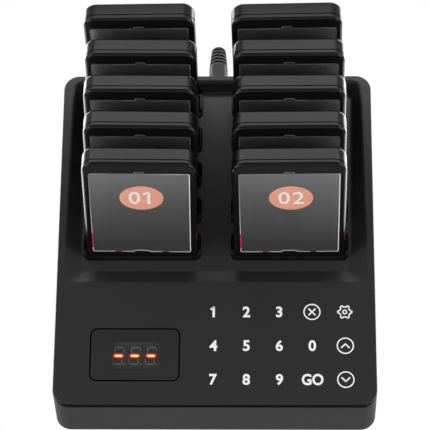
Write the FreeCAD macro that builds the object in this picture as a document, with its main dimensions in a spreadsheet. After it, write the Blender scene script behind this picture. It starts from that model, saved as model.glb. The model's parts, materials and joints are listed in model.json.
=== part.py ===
import FreeCAD, Part
import math
import os
import Sketcher
from FreeCAD import Placement, Rotation, Vector

# A guest pager system: a wedge-shaped charging base with a touch console at its front,
# and ten card-shaped pagers that stand in two columns of five sockets.
# Millimetres. X is to the right, Y to the back, Z up. The origin is on the surface that the
# base stands on, under the middle of the base.

doc = FreeCAD.newDocument("GuestPagerSystem")

# ---------------------------------------------------------------- driving dimensions
SIZES = {
    # base: outside
    "base_width": 201,
    "base_depth": 220.5,
    "front_height": 34,          # height of the deck's front edge
    "deck_slope": 12.2,          # degrees
    "base_corner": 10,           # radius of the four upright corners
    "foot_lift": 1.5,            # the housing's underside stands this high on its feet
    "wall": 2.5,
    "floor_wall": 2.5,
    "bottom_edge": 1.2,          # fillet round the housing's underside
    "rim_height": 1.2,           # upright edge of the deck above the parting groove
    "deck_edge": 0.8,            # fillet round the deck's edge
    "parting_gap": 1.2,          # height of the groove between deck and housing
    "parting_depth": 1.2,
    "deck_ceiling": 3,           # depth of the hollow under the deck
    "skirt_depth": 3.4,          # locating skirt of the deck inside the housing
    "skirt_wall": 1.6,
    "skirt_clearance": 0.2,
    # tray: the sunken area that holds the sockets
    "tray_start": 81,            # along the deck, from its front edge
    "tray_rear_rim": 4.4,
    "tray_side_rim_front": 4.5,
    "tray_side_rim_rear": 7,
    "tray_front_run": 9,         # plan length of the soft front wall
    "tray_rear_run": 3.4,
    "tray_side_run_front": 10.6,
    "tray_side_run_rear": 5,
    "tray_depth": 3.4,           # at the foot of the front wall
    "tray_slope": 9.8,           # degrees
    "tray_front_corner": 18,
    "tray_rear_corner": 7,
    "tray_lip": 2.5,             # rounding where deck and tray wall meet
    "tray_toe": 3.5,             # rounding where tray wall and tray floor meet
    "tray_floor_wall": 2.4,
    # rows of sockets
    "column_share": 0.371,       # of the base's free width lies between the two columns
    "first_row_share": 0.14,     # of the tray floor's length lies before the first socket's middle
    "last_row_share": 0.06,      # and this share behind the last socket's middle
    "lean": 6.2,                 # degrees that the pagers lean back
    "slot_depth": 17.2,
    "side_play": 0.6,            # between a pager's side and its socket
    "face_play": 0.4,
    "seat_gap": 0.3,
    "socket_wall": 1.7,
    "socket_floor": 1.8,
    "socket_corner": 4,
    "socket_fit": 0.2,           # between a socket and the tray's opening
    "lip_height": 2,             # socket's front lip above the tray
    "ear_height": 4,             # socket's side ears above the tray
    "ear_rise": 2.2,             # plan length of each ear's sloping end
    "ear_reach": 11.5,           # how far the ears run back from the front lip
    "rail_width": 50,            # strip that joins the sockets of a column
    "rail_wall": 2,
    # pagers
    "pager_width": 70,
    "pager_height": 102,
    "pager_thickness": 15,
    "pager_corner": 8,
    "back_edge": 2.4,            # rounding round the pager's back
    "front_edge": 1.8,
    "front_depth": 3.6,          # thickness of the front shell
    "seam_gap": 0.8,             # groove between the pager's two shells
    "seam_depth": 0.7,
    "shell_wall": 1.8,
    "lens_width": 62,
    "lens_height": 73.6,
    "lens_top": 8.5,             # from the pager's top to the clear cover
    "lens_wall": 1.5,
    "lens_proud": 0.2,
    "lens_corner": 1,
    "lens_fit": 0.2,
    "card_wall": 0.6,
    "view_margin": 4,            # ledge that carries the card, round the view opening
    "view_corner": 1.5,
    "tab_width": 6.2,            # small tab on the clear cover's top edge
    "tab_height": 1.5,
    "notch_width": 9.7,          # notch in its bottom edge
    "notch_depth": 1.2,
    "tongue_length": 1.5,        # the front shell's tongue inside the back shell
    "tongue_clearance": 0.15,
    "contact_offset": 12,        # charging contacts, each side of the middle
    "contact_width": 5,
    "contact_depth": 3.5,
    "contact_recess": 1.2,
    "contact_wall": 0.4,
    "pager_board_wall": 1.2,
    "cell_width": 38,
    "cell_height": 48,
    "cell_thickness": 4.6,
    "motor_diameter": 10,
    "motor_length": 3,
    # console
    "window_width": 55,
    "window_height": 33.4,
    "window_corner": 3.8,
    "window_wall": 1.6,
    "window_fit": 0.45,
    "window_side": 50.6,         # its middle, from the base's left side
    "window_along": 32.5,        # along the deck, from its front edge
    "window_ledge": 4,
    "display_width": 32,
    "display_height": 18,
    "display_depth": 7,
    "display_gap": 0.2,          # between the window and the digits
    "display_board_margin": 5,
    "board_wall": 1.6,
    "touch_width": 90,
    "touch_height": 62,
    "touch_side": 60.2,          # its middle, from the base's right side
    "touch_along": 39,
    # inside the base
    "main_board_width": 130,
    "main_board_depth": 64,
    "main_board_end": 58.5,      # its middle, from the base's back
    "standoff_height": 8,
    "standoff_diameter": 6,
    "standoff_inset": 5,
    "radio_width": 24,
    "radio_depth": 18,
    "radio_height": 3,
    "antenna_diameter": 5,
    "antenna_length": 24,
    "pin_diameter": 1.8,
    "pin_proud": 0.9,
    "charge_board_width": 44,
    "charge_board_depth": 10,
    # fixings and feet
    "pillar_diameter": 7,
    "pillar_side": 6.4,          # from the base's sides
    "pillar_end": 11.25,         # from the base's front and back
    "seat_height": 5,            # top of the screw seats above the housing's underside
    "seat_diameter": 9,
    "screw_diameter": 2.9,
    "screw_length": 11,
    "screw_clearance": 0.5,
    "head_diameter": 5.4,
    "head_height": 2,
    "counterbore": 6.2,
    "head_sunk": 0.8,
    "foot_diameter": 12,
    "foot_recess": 0.5,
    "foot_side": 20.5,           # from the base's sides
    "foot_end": 24.5,            # from the base's front and back
    # supply lead
    "jack_height": 54,
    "jack_opening": 8,
    "jack_body": 11,
    "jack_flange": 14,
    "jack_flange_wall": 1.5,
    "jack_length": 14,
    "jack_bore": 6.2,
    "jack_pin": 1.9,
    "jack_bottom": 3,
    "barrel_diameter": 5.5,
    "barrel_bore": 2.6,
    "barrel_length": 9.5,
    "grip_diameter": 12.3,
    "grip_length": 27,
    "grip_gap": 0.5,
    "boot_length": 17.3,
    "boot_tip_diameter": 9.2,
    "boot_grooves": 5,
    "boot_groove_start": 1.5,
    "boot_groove_width": 1.2,
    "boot_groove_depth": 1.2,
    "cord_diameter": 3.4,
    "coil_mean_diameter": 45,
    "coil_width": 11,
    "coil_height": 11,
    "coil_edge": 3,
    "coil_gap": 7,               # between the base and the coil
    "adapter_width": 52,
    "adapter_depth": 38,
    "adapter_height": 27,
    "adapter_edge": 4,
    "adapter_entry": 6,          # height of the cord where it enters the adapter
    "blade_spacing": 12.7,
    "blade_wall": 1.5,
    "blade_width": 6.3,
    "blade_length": 17,
}

sheet = doc.addObject("Spreadsheet::Sheet", "Sizes")
for row, (alias, number) in enumerate(SIZES.items(), 1):
    sheet.set(f"A{row}", alias)
    sheet.set(f"B{row}", str(number))
    sheet.setAlias(f"B{row}", alias)
doc.recompute()


class Size:
    """A length or angle that carries its value and its formula on the sheet."""

    def __init__(self, value, formula):
        self.value = float(value)
        self.formula = formula

    @staticmethod
    def of(other):
        return other if isinstance(other, Size) else Size(other, repr(float(other)))

    def __add__(self, other):
        other = Size.of(other)
        return Size(self.value + other.value, f"({self.formula} + {other.formula})")

    def __sub__(self, other):
        other = Size.of(other)
        return Size(self.value - other.value, f"({self.formula} - {other.formula})")

    def __mul__(self, other):
        other = Size.of(other)
        return Size(self.value * other.value, f"({self.formula} * {other.formula})")

    def __truediv__(self, other):
        other = Size.of(other)
        return Size(self.value / other.value, f"({self.formula} / {other.formula})")

    def __neg__(self):
        return Size(-self.value, f"(0 - {self.formula})")

    def __radd__(self, other):
        return Size.of(other) + self

    def __rsub__(self, other):
        return Size.of(other) - self

    def __rmul__(self, other):
        return Size.of(other) * self


def tan(angle):
    return Size(math.tan(math.radians(angle.value)), f"tan({angle.formula} * 1deg)")


def cos(angle):
    return Size(math.cos(math.radians(angle.value)), f"cos({angle.formula} * 1deg)")


def sin(angle):
    return Size(math.sin(math.radians(angle.value)), f"sin({angle.formula} * 1deg)")


class Sheet:
    """Every driving dimension under its own name."""


S = Sheet()
for alias in SIZES:
    setattr(S, alias, Size(sheet.get(alias), f"Sizes.{alias}"))


# ---------------------------------------------------------------- modelling helpers
def bind(target, path, size):
    """Bind one property of an object to the sheet."""
    size = Size.of(size)
    target.setExpression(path, size.formula)


def turn_about_x(angle):
    """A turn about X as a positive angle and the Rotation with it, about +X or -X."""
    if angle.value < 0:
        return -angle, Rotation(Vector(-1, 0, 0), -angle.value)
    return angle, Rotation(Vector(1, 0, 0), angle.value)


def new_body(label):
    body = doc.addObject("PartDesign::Body", label)
    body.Label = label
    return body


def new_sketch(body, plane, offset=0, origin=(0, 0), tilt=None):
    """A sketch on one of the body's own planes: moved along the plane's normal by offset and
    in it to origin, then turned about its own X axis by tilt, which may be negative."""
    sketch = body.newObject("Sketcher::SketchObject", f"{body.Name}_sketch")
    role = f"{plane}_Plane"
    support = [item for item in body.Origin.OriginFeatures if item.Role == role][0]
    sketch.AttachmentSupport = [(support, "")]
    sketch.MapMode = "FlatFace"
    x, y, z = Size.of(origin[0]), Size.of(origin[1]), Size.of(offset)
    angle, turn = turn_about_x(Size.of(0 if tilt is None else tilt))
    sketch.AttachmentOffset = Placement(Vector(x.value, y.value, z.value), turn)
    bind(sketch, ".AttachmentOffset.Base.x", x)
    bind(sketch, ".AttachmentOffset.Base.y", y)
    bind(sketch, ".AttachmentOffset.Base.z", z)
    if tilt is not None:
        sketch.setExpression(".AttachmentOffset.Rotation.Angle", f"{angle.formula} * 1deg")
    return sketch


def fix(sketch, kind, element, point, size):
    """Hold one point of a sketch at a distance from the sketch's origin along X or Y."""
    size = Size.of(size)
    if size.value == 0 and size.formula == repr(0.0):
        axis = -2 if kind == "DistanceX" else -1
        sketch.addConstraint(Sketcher.Constraint("PointOnObject", element, point, axis))
        return
    index = sketch.addConstraint(Sketcher.Constraint(kind, -1, 1, element, point, size.value))
    sketch.setExpression(f"Constraints[{index}]", size.formula)


def polygon(sketch, points):
    """A closed outline of straight lines through points, each held by its own two sizes."""
    first = sketch.GeometryCount
    places = [(Size.of(x), Size.of(y)) for x, y in points]
    for (x, y), (next_x, next_y) in zip(places, places[1:] + places[:1]):
        start = Vector(x.value, y.value, 0)
        end = Vector(next_x.value, next_y.value, 0)
        sketch.addGeometry(Part.LineSegment(start, end))
    count = len(places)
    for step in range(count):
        following = first + (step + 1) % count
        sketch.addConstraint(Sketcher.Constraint("Coincident", first + step, 2, following, 1))
    for step, (x, y) in enumerate(places):
        fix(sketch, "DistanceX", first + step, 1, x)
        fix(sketch, "DistanceY", first + step, 1, y)


def rounded_rectangle(sketch, left, right, low, high, radius):
    """A rectangle with four equal rounded corners."""
    left, right, low, high = Size.of(left), Size.of(right), Size.of(low), Size.of(high)
    radius = Size.of(radius)
    x0, x1, y0, y1, r = left.value, right.value, low.value, high.value, radius.value
    first = sketch.GeometryCount
    corners = [(x1 - r, y0 + r, -90), (x1 - r, y1 - r, 0), (x0 + r, y1 - r, 90), (x0 + r, y0 + r, 180)]
    lines = [((x0 + r, y0), (x1 - r, y0)), ((x1, y0 + r), (x1, y1 - r)),
             ((x1 - r, y1), (x0 + r, y1)), ((x0, y1 - r), (x0, y0 + r))]
    for (start, end), (x, y, angle) in zip(lines, corners):
        sketch.addGeometry(Part.LineSegment(Vector(*start, 0), Vector(*end, 0)))
        circle = Part.Circle(Vector(x, y, 0), Vector(0, 0, 1), r)
        sketch.addGeometry(Part.ArcOfCircle(circle, math.radians(angle), math.radians(angle + 90)))
    for side in range(4):
        line = first + 2 * side
        arc = line + 1
        following = first + (2 * side + 2) % 8
        sketch.addConstraint(Sketcher.Constraint("Tangent", line, 2, arc, 1))
        sketch.addConstraint(Sketcher.Constraint("Tangent", arc, 2, following, 1))
        direction = "Horizontal" if side % 2 == 0 else "Vertical"
        sketch.addConstraint(Sketcher.Constraint(direction, line))
        if side:
            sketch.addConstraint(Sketcher.Constraint("Equal", first + 1, arc))
    index = sketch.addConstraint(Sketcher.Constraint("Radius", first + 1, r))
    sketch.setExpression(f"Constraints[{index}]", radius.formula)
    fix(sketch, "DistanceY", first, 1, low)
    fix(sketch, "DistanceX", first + 2, 1, right)
    fix(sketch, "DistanceY", first + 4, 1, high)
    fix(sketch, "DistanceX", first + 6, 1, left)


def circle(sketch, x, y, diameter):
    x, y, diameter = Size.of(x), Size.of(y), Size.of(diameter)
    centre = Vector(x.value, y.value, 0)
    element = sketch.addGeometry(Part.Circle(centre, Vector(0, 0, 1), diameter.value / 2))
    index = sketch.addConstraint(Sketcher.Constraint("Diameter", element, diameter.value))
    sketch.setExpression(f"Constraints[{index}]", diameter.formula)
    fix(sketch, "DistanceX", element, 3, x)
    fix(sketch, "DistanceY", element, 3, y)


def extrude(body, kind, sketch, length, reverse=False, middle=False):
    """Pad or pocket a sketch. A pad goes along the sketch's normal and a pocket against it."""
    feature = body.newObject(f"PartDesign::{kind}", f"{body.Name}_{kind.lower()}")
    feature.Profile = sketch
    length = Size.of(length)
    feature.Length = length.value
    bind(feature, "Length", length)
    feature.Reversed = reverse
    if middle:
        feature.SideType = "Symmetric"
    sketch.Visibility = False
    return feature


def pad(body, sketch, length, **options):
    return extrude(body, "Pad", sketch, length, **options)


def pocket(body, sketch, length, **options):
    return extrude(body, "Pocket", sketch, length, **options)


def loft(body, kind, first, second):
    feature = body.newObject(f"PartDesign::{kind}", f"{body.Name}_loft")
    feature.Profile = first
    feature.Sections = [second]
    feature.Ruled = True
    return feature


def edges_where(shape, test):
    """The names of the edges that pass the test."""
    return [f"Edge{number}" for number, edge in enumerate(shape.Edges, 1) if test(edge)]


def fillet(body, feature, radius, test):
    """Round those edges of the feature that pass the test."""
    doc.recompute()
    rounding = body.newObject("PartDesign::Fillet", f"{body.Name}_fillet")
    rounding.Base = (feature, edges_where(feature.Shape, test))
    bind(rounding, "Radius", radius)
    return rounding


def repeat(body, features, direction, axis, length, count):
    """Repeat features along one axis of a sketch, over a length."""
    pattern = body.newObject("PartDesign::LinearPattern", f"{body.Name}_pattern")
    pattern.Originals = features
    pattern.Direction = (direction, [axis])
    bind(pattern, "Length", length)
    pattern.Occurrences = count
    body.Tip = pattern
    return pattern


def revolve(body, sketch, axis):
    feature = body.newObject("PartDesign::Revolution", f"{body.Name}_turned")
    feature.Profile = sketch
    feature.ReferenceAxis = (sketch, [axis])
    feature.Angle = 360
    return feature


def place(target, x, y, z, tilt=None):
    """Place a primitive by sizes, turned about X by tilt."""
    x, y, z = Size.of(x), Size.of(y), Size.of(z)
    angle, turn = turn_about_x(Size.of(0 if tilt is None else tilt))
    target.Placement = Placement(Vector(x.value, y.value, z.value), turn)
    bind(target, ".Placement.Base.x", x)
    bind(target, ".Placement.Base.y", y)
    bind(target, ".Placement.Base.z", z)
    if tilt is not None:
        target.setExpression(".Placement.Rotation.Angle", f"{angle.formula} * 1deg")


def block(label, size, corner, tilt=None):
    """A plain block of a size, with its low front left corner at a point."""
    box = doc.addObject("Part::Box", label)
    box.Label = label
    bind(box, "Length", size[0])
    bind(box, "Width", size[1])
    bind(box, "Height", size[2])
    place(box, *corner, tilt=tilt)
    return box


def rod(label, diameter, length, foot, tilt=None):
    """A cylinder that stands on a point, upright unless tilted about X."""
    cylinder = doc.addObject("Part::Cylinder", label)
    cylinder.Label = label
    bind(cylinder, "Radius", Size.of(diameter) / 2)
    bind(cylinder, "Height", length)
    place(cylinder, *foot, tilt=tilt)
    return cylinder


def group(label, members):
    """Separate solids that share one node."""
    compound = doc.addObject("Part::Compound", label)
    compound.Label = label
    compound.Links = members
    return compound


nodes = []


def is_upright(edge):
    """A straight edge along Z."""
    if not isinstance(edge.Curve, Part.Line):
        return False
    return abs(edge.Curve.Direction.z) > 0.999


# ---------------------------------------------------------------- shared places on the base
half_width = S.base_width / 2
half_depth = S.base_depth / 2
slope_rise = tan(S.deck_slope)
cover_drop = S.rim_height + S.parting_gap
ceiling_drop = S.deck_ceiling


def deck_height(y):
    """Height of the deck at a place Y."""
    return S.front_height + (Size.of(y) + half_depth) * slope_rise


tray_toe_y = (S.tray_start + S.tray_front_run) * cos(S.deck_slope) - half_depth
tray_toe_z = deck_height(tray_toe_y) - S.tray_depth
tray_rear_y = half_depth - (S.tray_rear_rim + S.tray_rear_run) * cos(S.deck_slope)


def tray_height(y):
    """Height of the tray's floor at a place Y."""
    return tray_toe_z + (Size.of(y) - tray_toe_y) * tan(S.tray_slope)


socket_width = S.pager_width + 2 * S.side_play + 2 * S.socket_wall
socket_thickness = S.pager_thickness + 2 * S.face_play + 2 * S.socket_wall
SIDES = (-1, 1)
ROWS = 5
column_x = socket_width / 2 + S.column_share * (half_width - socket_width)
tray_length = tray_rear_y - tray_toe_y
first_row_y = tray_toe_y + S.first_row_share * tray_length
row_pitch = tray_length * (1 - S.first_row_share - S.last_row_share) / (ROWS - 1)


def socket_place(row, back, up):
    """Y and Z of a point in a row's socket: back along its mouth and up along the pager's axis,
    from the middle of the pager on the tray's floor."""
    row_y = first_row_y + row * row_pitch
    y = row_y + Size.of(back) * cos(S.lean) + Size.of(up) * sin(S.lean)
    z = tray_height(row_y) - Size.of(back) * sin(S.lean) + Size.of(up) * cos(S.lean)
    return y, z


pillar_x = half_width - S.pillar_side
pillar_y = half_depth - S.pillar_end
foot_places = [(x * (half_width - S.foot_side), y * (half_depth - S.foot_end)) for x in SIDES for y in SIDES]
main_board_y = half_depth - S.main_board_end
window_x = S.window_side - half_width
touch_x = half_width - S.touch_side


def screw_places():
    """The six places of the housing's screws, as X and Y."""
    return [(side * pillar_x, end * pillar_y) for end in (-1, 0, 1) for side in SIDES]


# ---------------------------------------------------------------- base housing
def circles(body, height, places, diameter):
    """A level sketch at a height with one circle at each place."""
    sketch = new_sketch(body, "XY", offset=height)
    for x, y in places:
        circle(sketch, x, y, diameter)
    return sketch


def make_base_housing():
    """The lower shell: a wedge-shaped box, open at the top, that stands on four feet."""
    body = new_body("base_housing")
    outline = new_sketch(body, "XY", offset=S.foot_lift)
    rounded_rectangle(outline, -half_width, half_width, -half_depth, half_depth, S.base_corner)
    full_height = deck_height(half_depth)
    pad(body, outline, full_height)
    above = new_sketch(body, "YZ")
    front_edge = deck_height(-half_depth) - cover_drop
    back_edge = deck_height(half_depth) - cover_drop
    sky = 2 * full_height
    polygon(above, [(-half_depth, front_edge), (half_depth, back_edge), (half_depth, sky),
                    (-half_depth, sky)])
    wedge = pocket(body, above, S.base_width, middle=True)

    def on_underside(edge):
        return all(abs(vertex.Z - S.foot_lift.value) < 0.01 for vertex in edge.Vertexes)

    fillet(body, wedge, S.bottom_edge, on_underside)
    inside_width = half_width - S.wall
    inside_depth = half_depth - S.wall
    floor_top = S.foot_lift + S.floor_wall
    hollow = new_sketch(body, "XY", offset=floor_top)
    rounded_rectangle(hollow, -inside_width, inside_width, -inside_depth, inside_depth,
                      S.base_corner - S.wall)
    pocket(body, hollow, full_height, reverse=True)
    inside_floor = S.foot_lift + S.floor_wall / 2
    seats = circles(body, inside_floor, screw_places(), S.seat_diameter)
    pad(body, seats, S.foot_lift + S.seat_height - inside_floor)
    post_x = S.main_board_width / 2 - S.standoff_inset
    post_y = S.main_board_depth / 2 - S.standoff_inset
    posts = [(x * post_x, main_board_y + y * post_y) for x in SIDES for y in SIDES]
    pad(body, circles(body, inside_floor, posts, S.standoff_diameter), S.floor_wall / 2 + S.standoff_height)
    shanks = circles(body, S.foot_lift, screw_places(), S.screw_diameter + S.screw_clearance)
    pocket(body, shanks, S.seat_height, reverse=True)
    heads = circles(body, S.foot_lift, screw_places(), S.counterbore)
    pocket(body, heads, S.head_height + S.head_sunk, reverse=True)
    pocket(body, circles(body, S.foot_lift, foot_places, S.foot_diameter), S.foot_recess, reverse=True)
    jack_hole = new_sketch(body, "XZ", offset=-half_depth)
    circle(jack_hole, 0, S.jack_height, S.jack_opening)
    pocket(body, jack_hole, S.wall + 1, reverse=True)
    nodes.append(body)


# ---------------------------------------------------------------- top cover
def deck_plate(body, kind, inset, top_drop, low_drop, front=None):
    """A plate that follows the deck, with upright sides set in from the base's outline, between
    two depths measured straight down from the deck."""
    start = Size.of(inset if front is None else front + half_depth)
    sketch = new_sketch(body, "XY", offset=S.front_height - top_drop, origin=(0, -half_depth),
                        tilt=S.deck_slope)
    side = half_width - inset
    rounded_rectangle(sketch, -side, side, start / cos(S.deck_slope),
                      (S.base_depth - inset) / cos(S.deck_slope), S.base_corner - inset)
    plate = extrude(body, kind, sketch, Size.of(low_drop) - top_drop)
    plate.UseCustomVector = True
    plate.AlongSketchNormal = False
    plate.Direction = Vector(0, 0, -1)
    return plate


def make_top_cover():
    """The deck: a sloping plate with the console in front and a soft-walled tray behind it."""
    body = new_body("top_cover")
    deck_plate(body, "Pad", Size.of(0), 0, S.rim_height)
    deck_plate(body, "Pad", S.parting_depth, S.rim_height / 2, cover_drop)
    skirt_inset = S.wall + S.skirt_clearance
    skirt_drop = cover_drop + S.skirt_depth
    deck_plate(body, "Pad", skirt_inset, cover_drop / 2, skirt_drop)
    deck_plate(body, "Pocket", skirt_inset + S.skirt_wall, ceiling_drop, skirt_drop + 2)

    tray_front = S.tray_start * cos(S.deck_slope) - half_depth - S.tray_floor_wall
    tub_drop = deck_height(half_depth) - tray_height(half_depth) + S.tray_floor_wall + 1
    deck_plate(body, "Pad", skirt_inset, cover_drop / 2, tub_drop, front=tray_front)
    below = new_sketch(body, "YZ")
    toe = tray_toe_y - S.tray_floor_wall
    polygon(below, [(toe, tray_height(toe) - S.tray_floor_wall),
                    (half_depth, tray_height(half_depth) - S.tray_floor_wall),
                    (half_depth, 0), (tray_front - 1, 0),
                    (tray_front - 1, deck_height(tray_front) - skirt_drop)])
    pocket(body, below, S.base_width, middle=True)

    cut_tray(body)
    cut_console(body)
    add_pillars(body)
    cut_sockets(body)
    round_deck_edge(body)
    nodes.append(body)


def cut_tray(body):
    """The tray: a loft from its outline in the deck to its smaller floor, with soft edges."""
    brim = new_sketch(body, "XY", offset=S.front_height, origin=(0, -half_depth), tilt=S.deck_slope)
    deck_length = S.base_depth / cos(S.deck_slope)
    brim_front = half_width - S.tray_side_rim_front
    brim_rear = half_width - S.tray_side_rim_rear
    brim_end = deck_length - S.tray_rear_rim
    polygon(brim, [(-brim_front, S.tray_start), (brim_front, S.tray_start),
                   (brim_rear, brim_end), (-brim_rear, brim_end)])
    floor = new_sketch(body, "XY", offset=tray_toe_z, origin=(0, tray_toe_y), tilt=S.tray_slope)
    floor_length = (tray_rear_y - tray_toe_y) / cos(S.tray_slope)
    floor_front = brim_front - S.tray_side_run_front
    floor_rear = brim_rear - S.tray_side_run_rear
    polygon(floor, [(-floor_front, 0), (floor_front, 0), (floor_rear, floor_length),
                    (-floor_rear, floor_length)])
    tray = loft(body, "SubtractiveLoft", brim, floor)
    body.Tip = tray

    def in_tray(edge):
        ends = [vertex.Point for vertex in edge.Vertexes]
        return all(abs(end.x) < brim_front.value + 0.01 for end in ends)

    def corner_of(back):
        """Sloping edges that run from the deck down to the tray's floor, at the front or back."""
        def test(edge):
            if len(edge.Vertexes) < 2 or not in_tray(edge):
                return False
            first, second = (vertex.Point for vertex in edge.Vertexes)
            drops = sorted(deck_height(point.y).value - point.z for point in (first, second))
            reaches_deck = abs(drops[0]) < 0.01
            reaches_floor = drops[1] > S.tray_depth.value * 0.9
            behind = (first.y + second.y) / 2 > tray_toe_y.value + 20
            return reaches_deck and reaches_floor and behind == back
        return test

    front_corners = fillet(body, tray, S.tray_front_corner, corner_of(False))
    rear_corners = fillet(body, front_corners, S.tray_rear_corner, corner_of(True))

    def on_line(height):
        def test(edge):
            points = [edge.valueAt(edge.FirstParameter + share * (edge.LastParameter - edge.FirstParameter))
                      for share in (0, 0.5, 1)]
            inside = all(abs(point.x) < brim_front.value + 0.01 for point in points)
            behind = all(point.y > tray_toe_y.value - 20 for point in points)
            level = all(abs(height(point.y).value - point.z) < 0.01 for point in points)
            before_end = all(point.y < half_depth.value - 1 for point in points)
            return inside and behind and level and before_end
        return test

    toe = fillet(body, rear_corners, S.tray_toe, on_line(tray_height))
    fillet(body, toe, S.tray_lip, on_line(deck_height))


def cut_console(body):
    """The seat of the display's window and the opening under it."""
    left = window_x - S.window_width / 2
    low = S.window_along - S.window_height / 2
    for margin, depth in ((0, S.window_wall), (S.window_ledge, 2 * ceiling_drop)):
        seat = new_sketch(body, "XY", offset=S.front_height, origin=(0, -half_depth), tilt=S.deck_slope)
        grown = S.window_fit if margin == 0 else -S.window_ledge
        rounded_rectangle(seat, left - grown, left + S.window_width + grown,
                          low - grown, low + S.window_height + grown,
                          S.window_corner + S.window_fit if margin == 0 else S.window_corner - 2)
        pocket(body, seat, depth)


def add_pillars(body):
    """Six screw pillars that reach down to the housing's seats."""
    seat_top = S.foot_lift + S.seat_height
    for end in (-1, 0, 1):
        y = end * pillar_y
        roof = deck_height(y) - cover_drop if end < 0 else tray_height(y) - S.tray_floor_wall / 2
        places = [(side * pillar_x, y) for side in SIDES]
        pad(body, circles(body, seat_top, places, S.pillar_diameter), roof - seat_top)
    bores = circles(body, seat_top, screw_places(), S.screw_diameter)
    pocket(body, bores, S.screw_length, reverse=True)


def cut_sockets(body):
    """Ten upright openings through the tray's floor, which the sockets fill."""
    slant = S.tray_floor_wall * tan(S.lean)
    half_mouth = socket_thickness / (2 * cos(S.lean)) + S.socket_fit
    middle = first_row_y
    mouths = new_sketch(body, "XY", offset=0)
    for side in SIDES:
        x = side * column_x
        half = socket_width / 2 + S.socket_fit
        rounded_rectangle(mouths, x - half, x + half, middle - half_mouth - slant, middle + half_mouth,
                          S.socket_corner + S.socket_fit)
    cut = pocket(body, mouths, 2 * deck_height(half_depth), reverse=True)
    repeat(body, [cut], mouths, "V_Axis", (ROWS - 1) * row_pitch, ROWS)


def round_deck_edge(body):
    """A small rounding along the deck's outer edge."""
    def outer(edge):
        points = [edge.valueAt(edge.FirstParameter + share * (edge.LastParameter - edge.FirstParameter))
                  for share in (0, 0.5, 1)]
        level = all(abs(deck_height(point.y).value - point.z) < 0.01 for point in points)
        return level and any(at_outline(point) for point in points)

    def at_outline(point):
        return (abs(abs(point.x) - half_width.value) < 0.01
                or abs(abs(point.y) - half_depth.value) < 0.01)

    body.Tip = fillet(body, body.Tip, S.deck_edge, outer)


# ---------------------------------------------------------------- sockets and charging contacts
def socket_sketch(body, x, up):
    """A sketch square to the pager's axis in the first row's socket."""
    y, z = socket_place(0, 0, up)
    return new_sketch(body, "XY", offset=z, origin=(x, y), tilt=-S.lean)


def make_socket_frame(side, label):
    """One column's glossy sockets: a cup round each pager's foot, a low front lip, an ear on
    each side, and a strip under the tray that joins the five."""
    body = new_body(label)
    x = side * column_x
    front_y = first_row_y - socket_thickness / 2
    last_y = first_row_y + (ROWS - 1) * row_pitch
    rail = new_sketch(body, "YZ", offset=x)
    first_top = tray_height(first_row_y) - S.tray_floor_wall
    last_top = tray_height(last_y) - S.tray_floor_wall
    polygon(rail, [(first_row_y, first_top - S.rail_wall), (last_y, last_top - S.rail_wall),
                   (last_y, last_top), (first_row_y, first_top)])
    pad(body, rail, S.rail_width, middle=True)
    top = S.ear_height + socket_thickness / 2 * tan(S.lean + S.tray_slope)
    outer = socket_sketch(body, x, top)
    half_x, half_y = socket_width / 2, socket_thickness / 2
    rounded_rectangle(outer, -half_x, half_x, -half_y, half_y, S.socket_corner)
    cup = pad(body, outer, top + S.slot_depth + S.socket_floor, reverse=True)
    inner = socket_sketch(body, x, top)
    rounded_rectangle(inner, S.socket_wall - half_x, half_x - S.socket_wall, S.socket_wall - half_y,
                      half_y - S.socket_wall, S.socket_corner - S.socket_wall)
    mouth = pocket(body, inner, top + S.slot_depth)
    trim = new_sketch(body, "YZ", offset=x)
    outline = [(-2, S.lip_height), (S.socket_wall + 0.3, S.lip_height),
               (S.socket_wall + 0.3 + S.ear_rise, S.ear_height), (S.ear_reach, S.ear_height),
               (S.ear_reach + S.ear_rise, 0), (socket_thickness + 3, 0),
               (socket_thickness + 3, 2 * top), (-2, 2 * top)]
    polygon(trim, [(front_y + back, tray_height(front_y + back) + up) for back, up in outline])
    collar = pocket(body, trim, 2 * socket_width, middle=True)
    holes = socket_sketch(body, x, -S.slot_depth)
    for offset in SIDES:
        circle(holes, offset * S.contact_offset, 0, S.pin_diameter + 0.2)
    pin_holes = pocket(body, holes, S.socket_floor + 1)
    along = new_sketch(body, "XY", offset=tray_height(first_row_y), origin=(x, first_row_y),
                       tilt=S.tray_slope)
    repeat(body, [cup, mouth, collar, pin_holes], along, "V_Axis",
           (ROWS - 1) * row_pitch / cos(S.tray_slope), ROWS)
    nodes.append(body)


def make_charge_contacts():
    """Under each socket a small board with two pins that stand up through the socket's floor."""
    members = []
    for row in range(ROWS):
        for side in SIDES:
            name = f"charge_{row}_{'left' if side < 0 else 'right'}"
            board_top = -S.slot_depth - S.socket_floor
            y, z = socket_place(row, -S.charge_board_depth / 2, board_top - S.board_wall)
            corner = (side * column_x - S.charge_board_width / 2, y, z)
            size = (S.charge_board_width, S.charge_board_depth, S.board_wall)
            members.append(block(f"{name}_board", size, corner, tilt=-S.lean))
            for offset in SIDES:
                y, z = socket_place(row, 0, board_top)
                foot = (side * column_x + offset * S.contact_offset, y, z)
                pin = rod(f"{name}_pin_{offset + 2}", S.pin_diameter, S.socket_floor + S.pin_proud, foot,
                          tilt=-S.lean)
                members.append(pin)
    nodes.append(group("charge_contacts", members))


# ---------------------------------------------------------------- console
def deck_place(along, down):
    """Y and Z of a point under the deck: along it from its front edge, and square down from it."""
    y = along * cos(S.deck_slope) + down * sin(S.deck_slope) - half_depth
    z = S.front_height + along * sin(S.deck_slope) - down * cos(S.deck_slope)
    return y, z


def deck_block(label, middle_x, along, width, height, top, depth):
    """A block parallel to the deck, centred on a point of it, from one depth to another."""
    y, z = deck_place(along - height / 2, top + depth)
    return block(label, (width, height, depth), (middle_x - width / 2, y, z), tilt=S.deck_slope)


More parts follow.
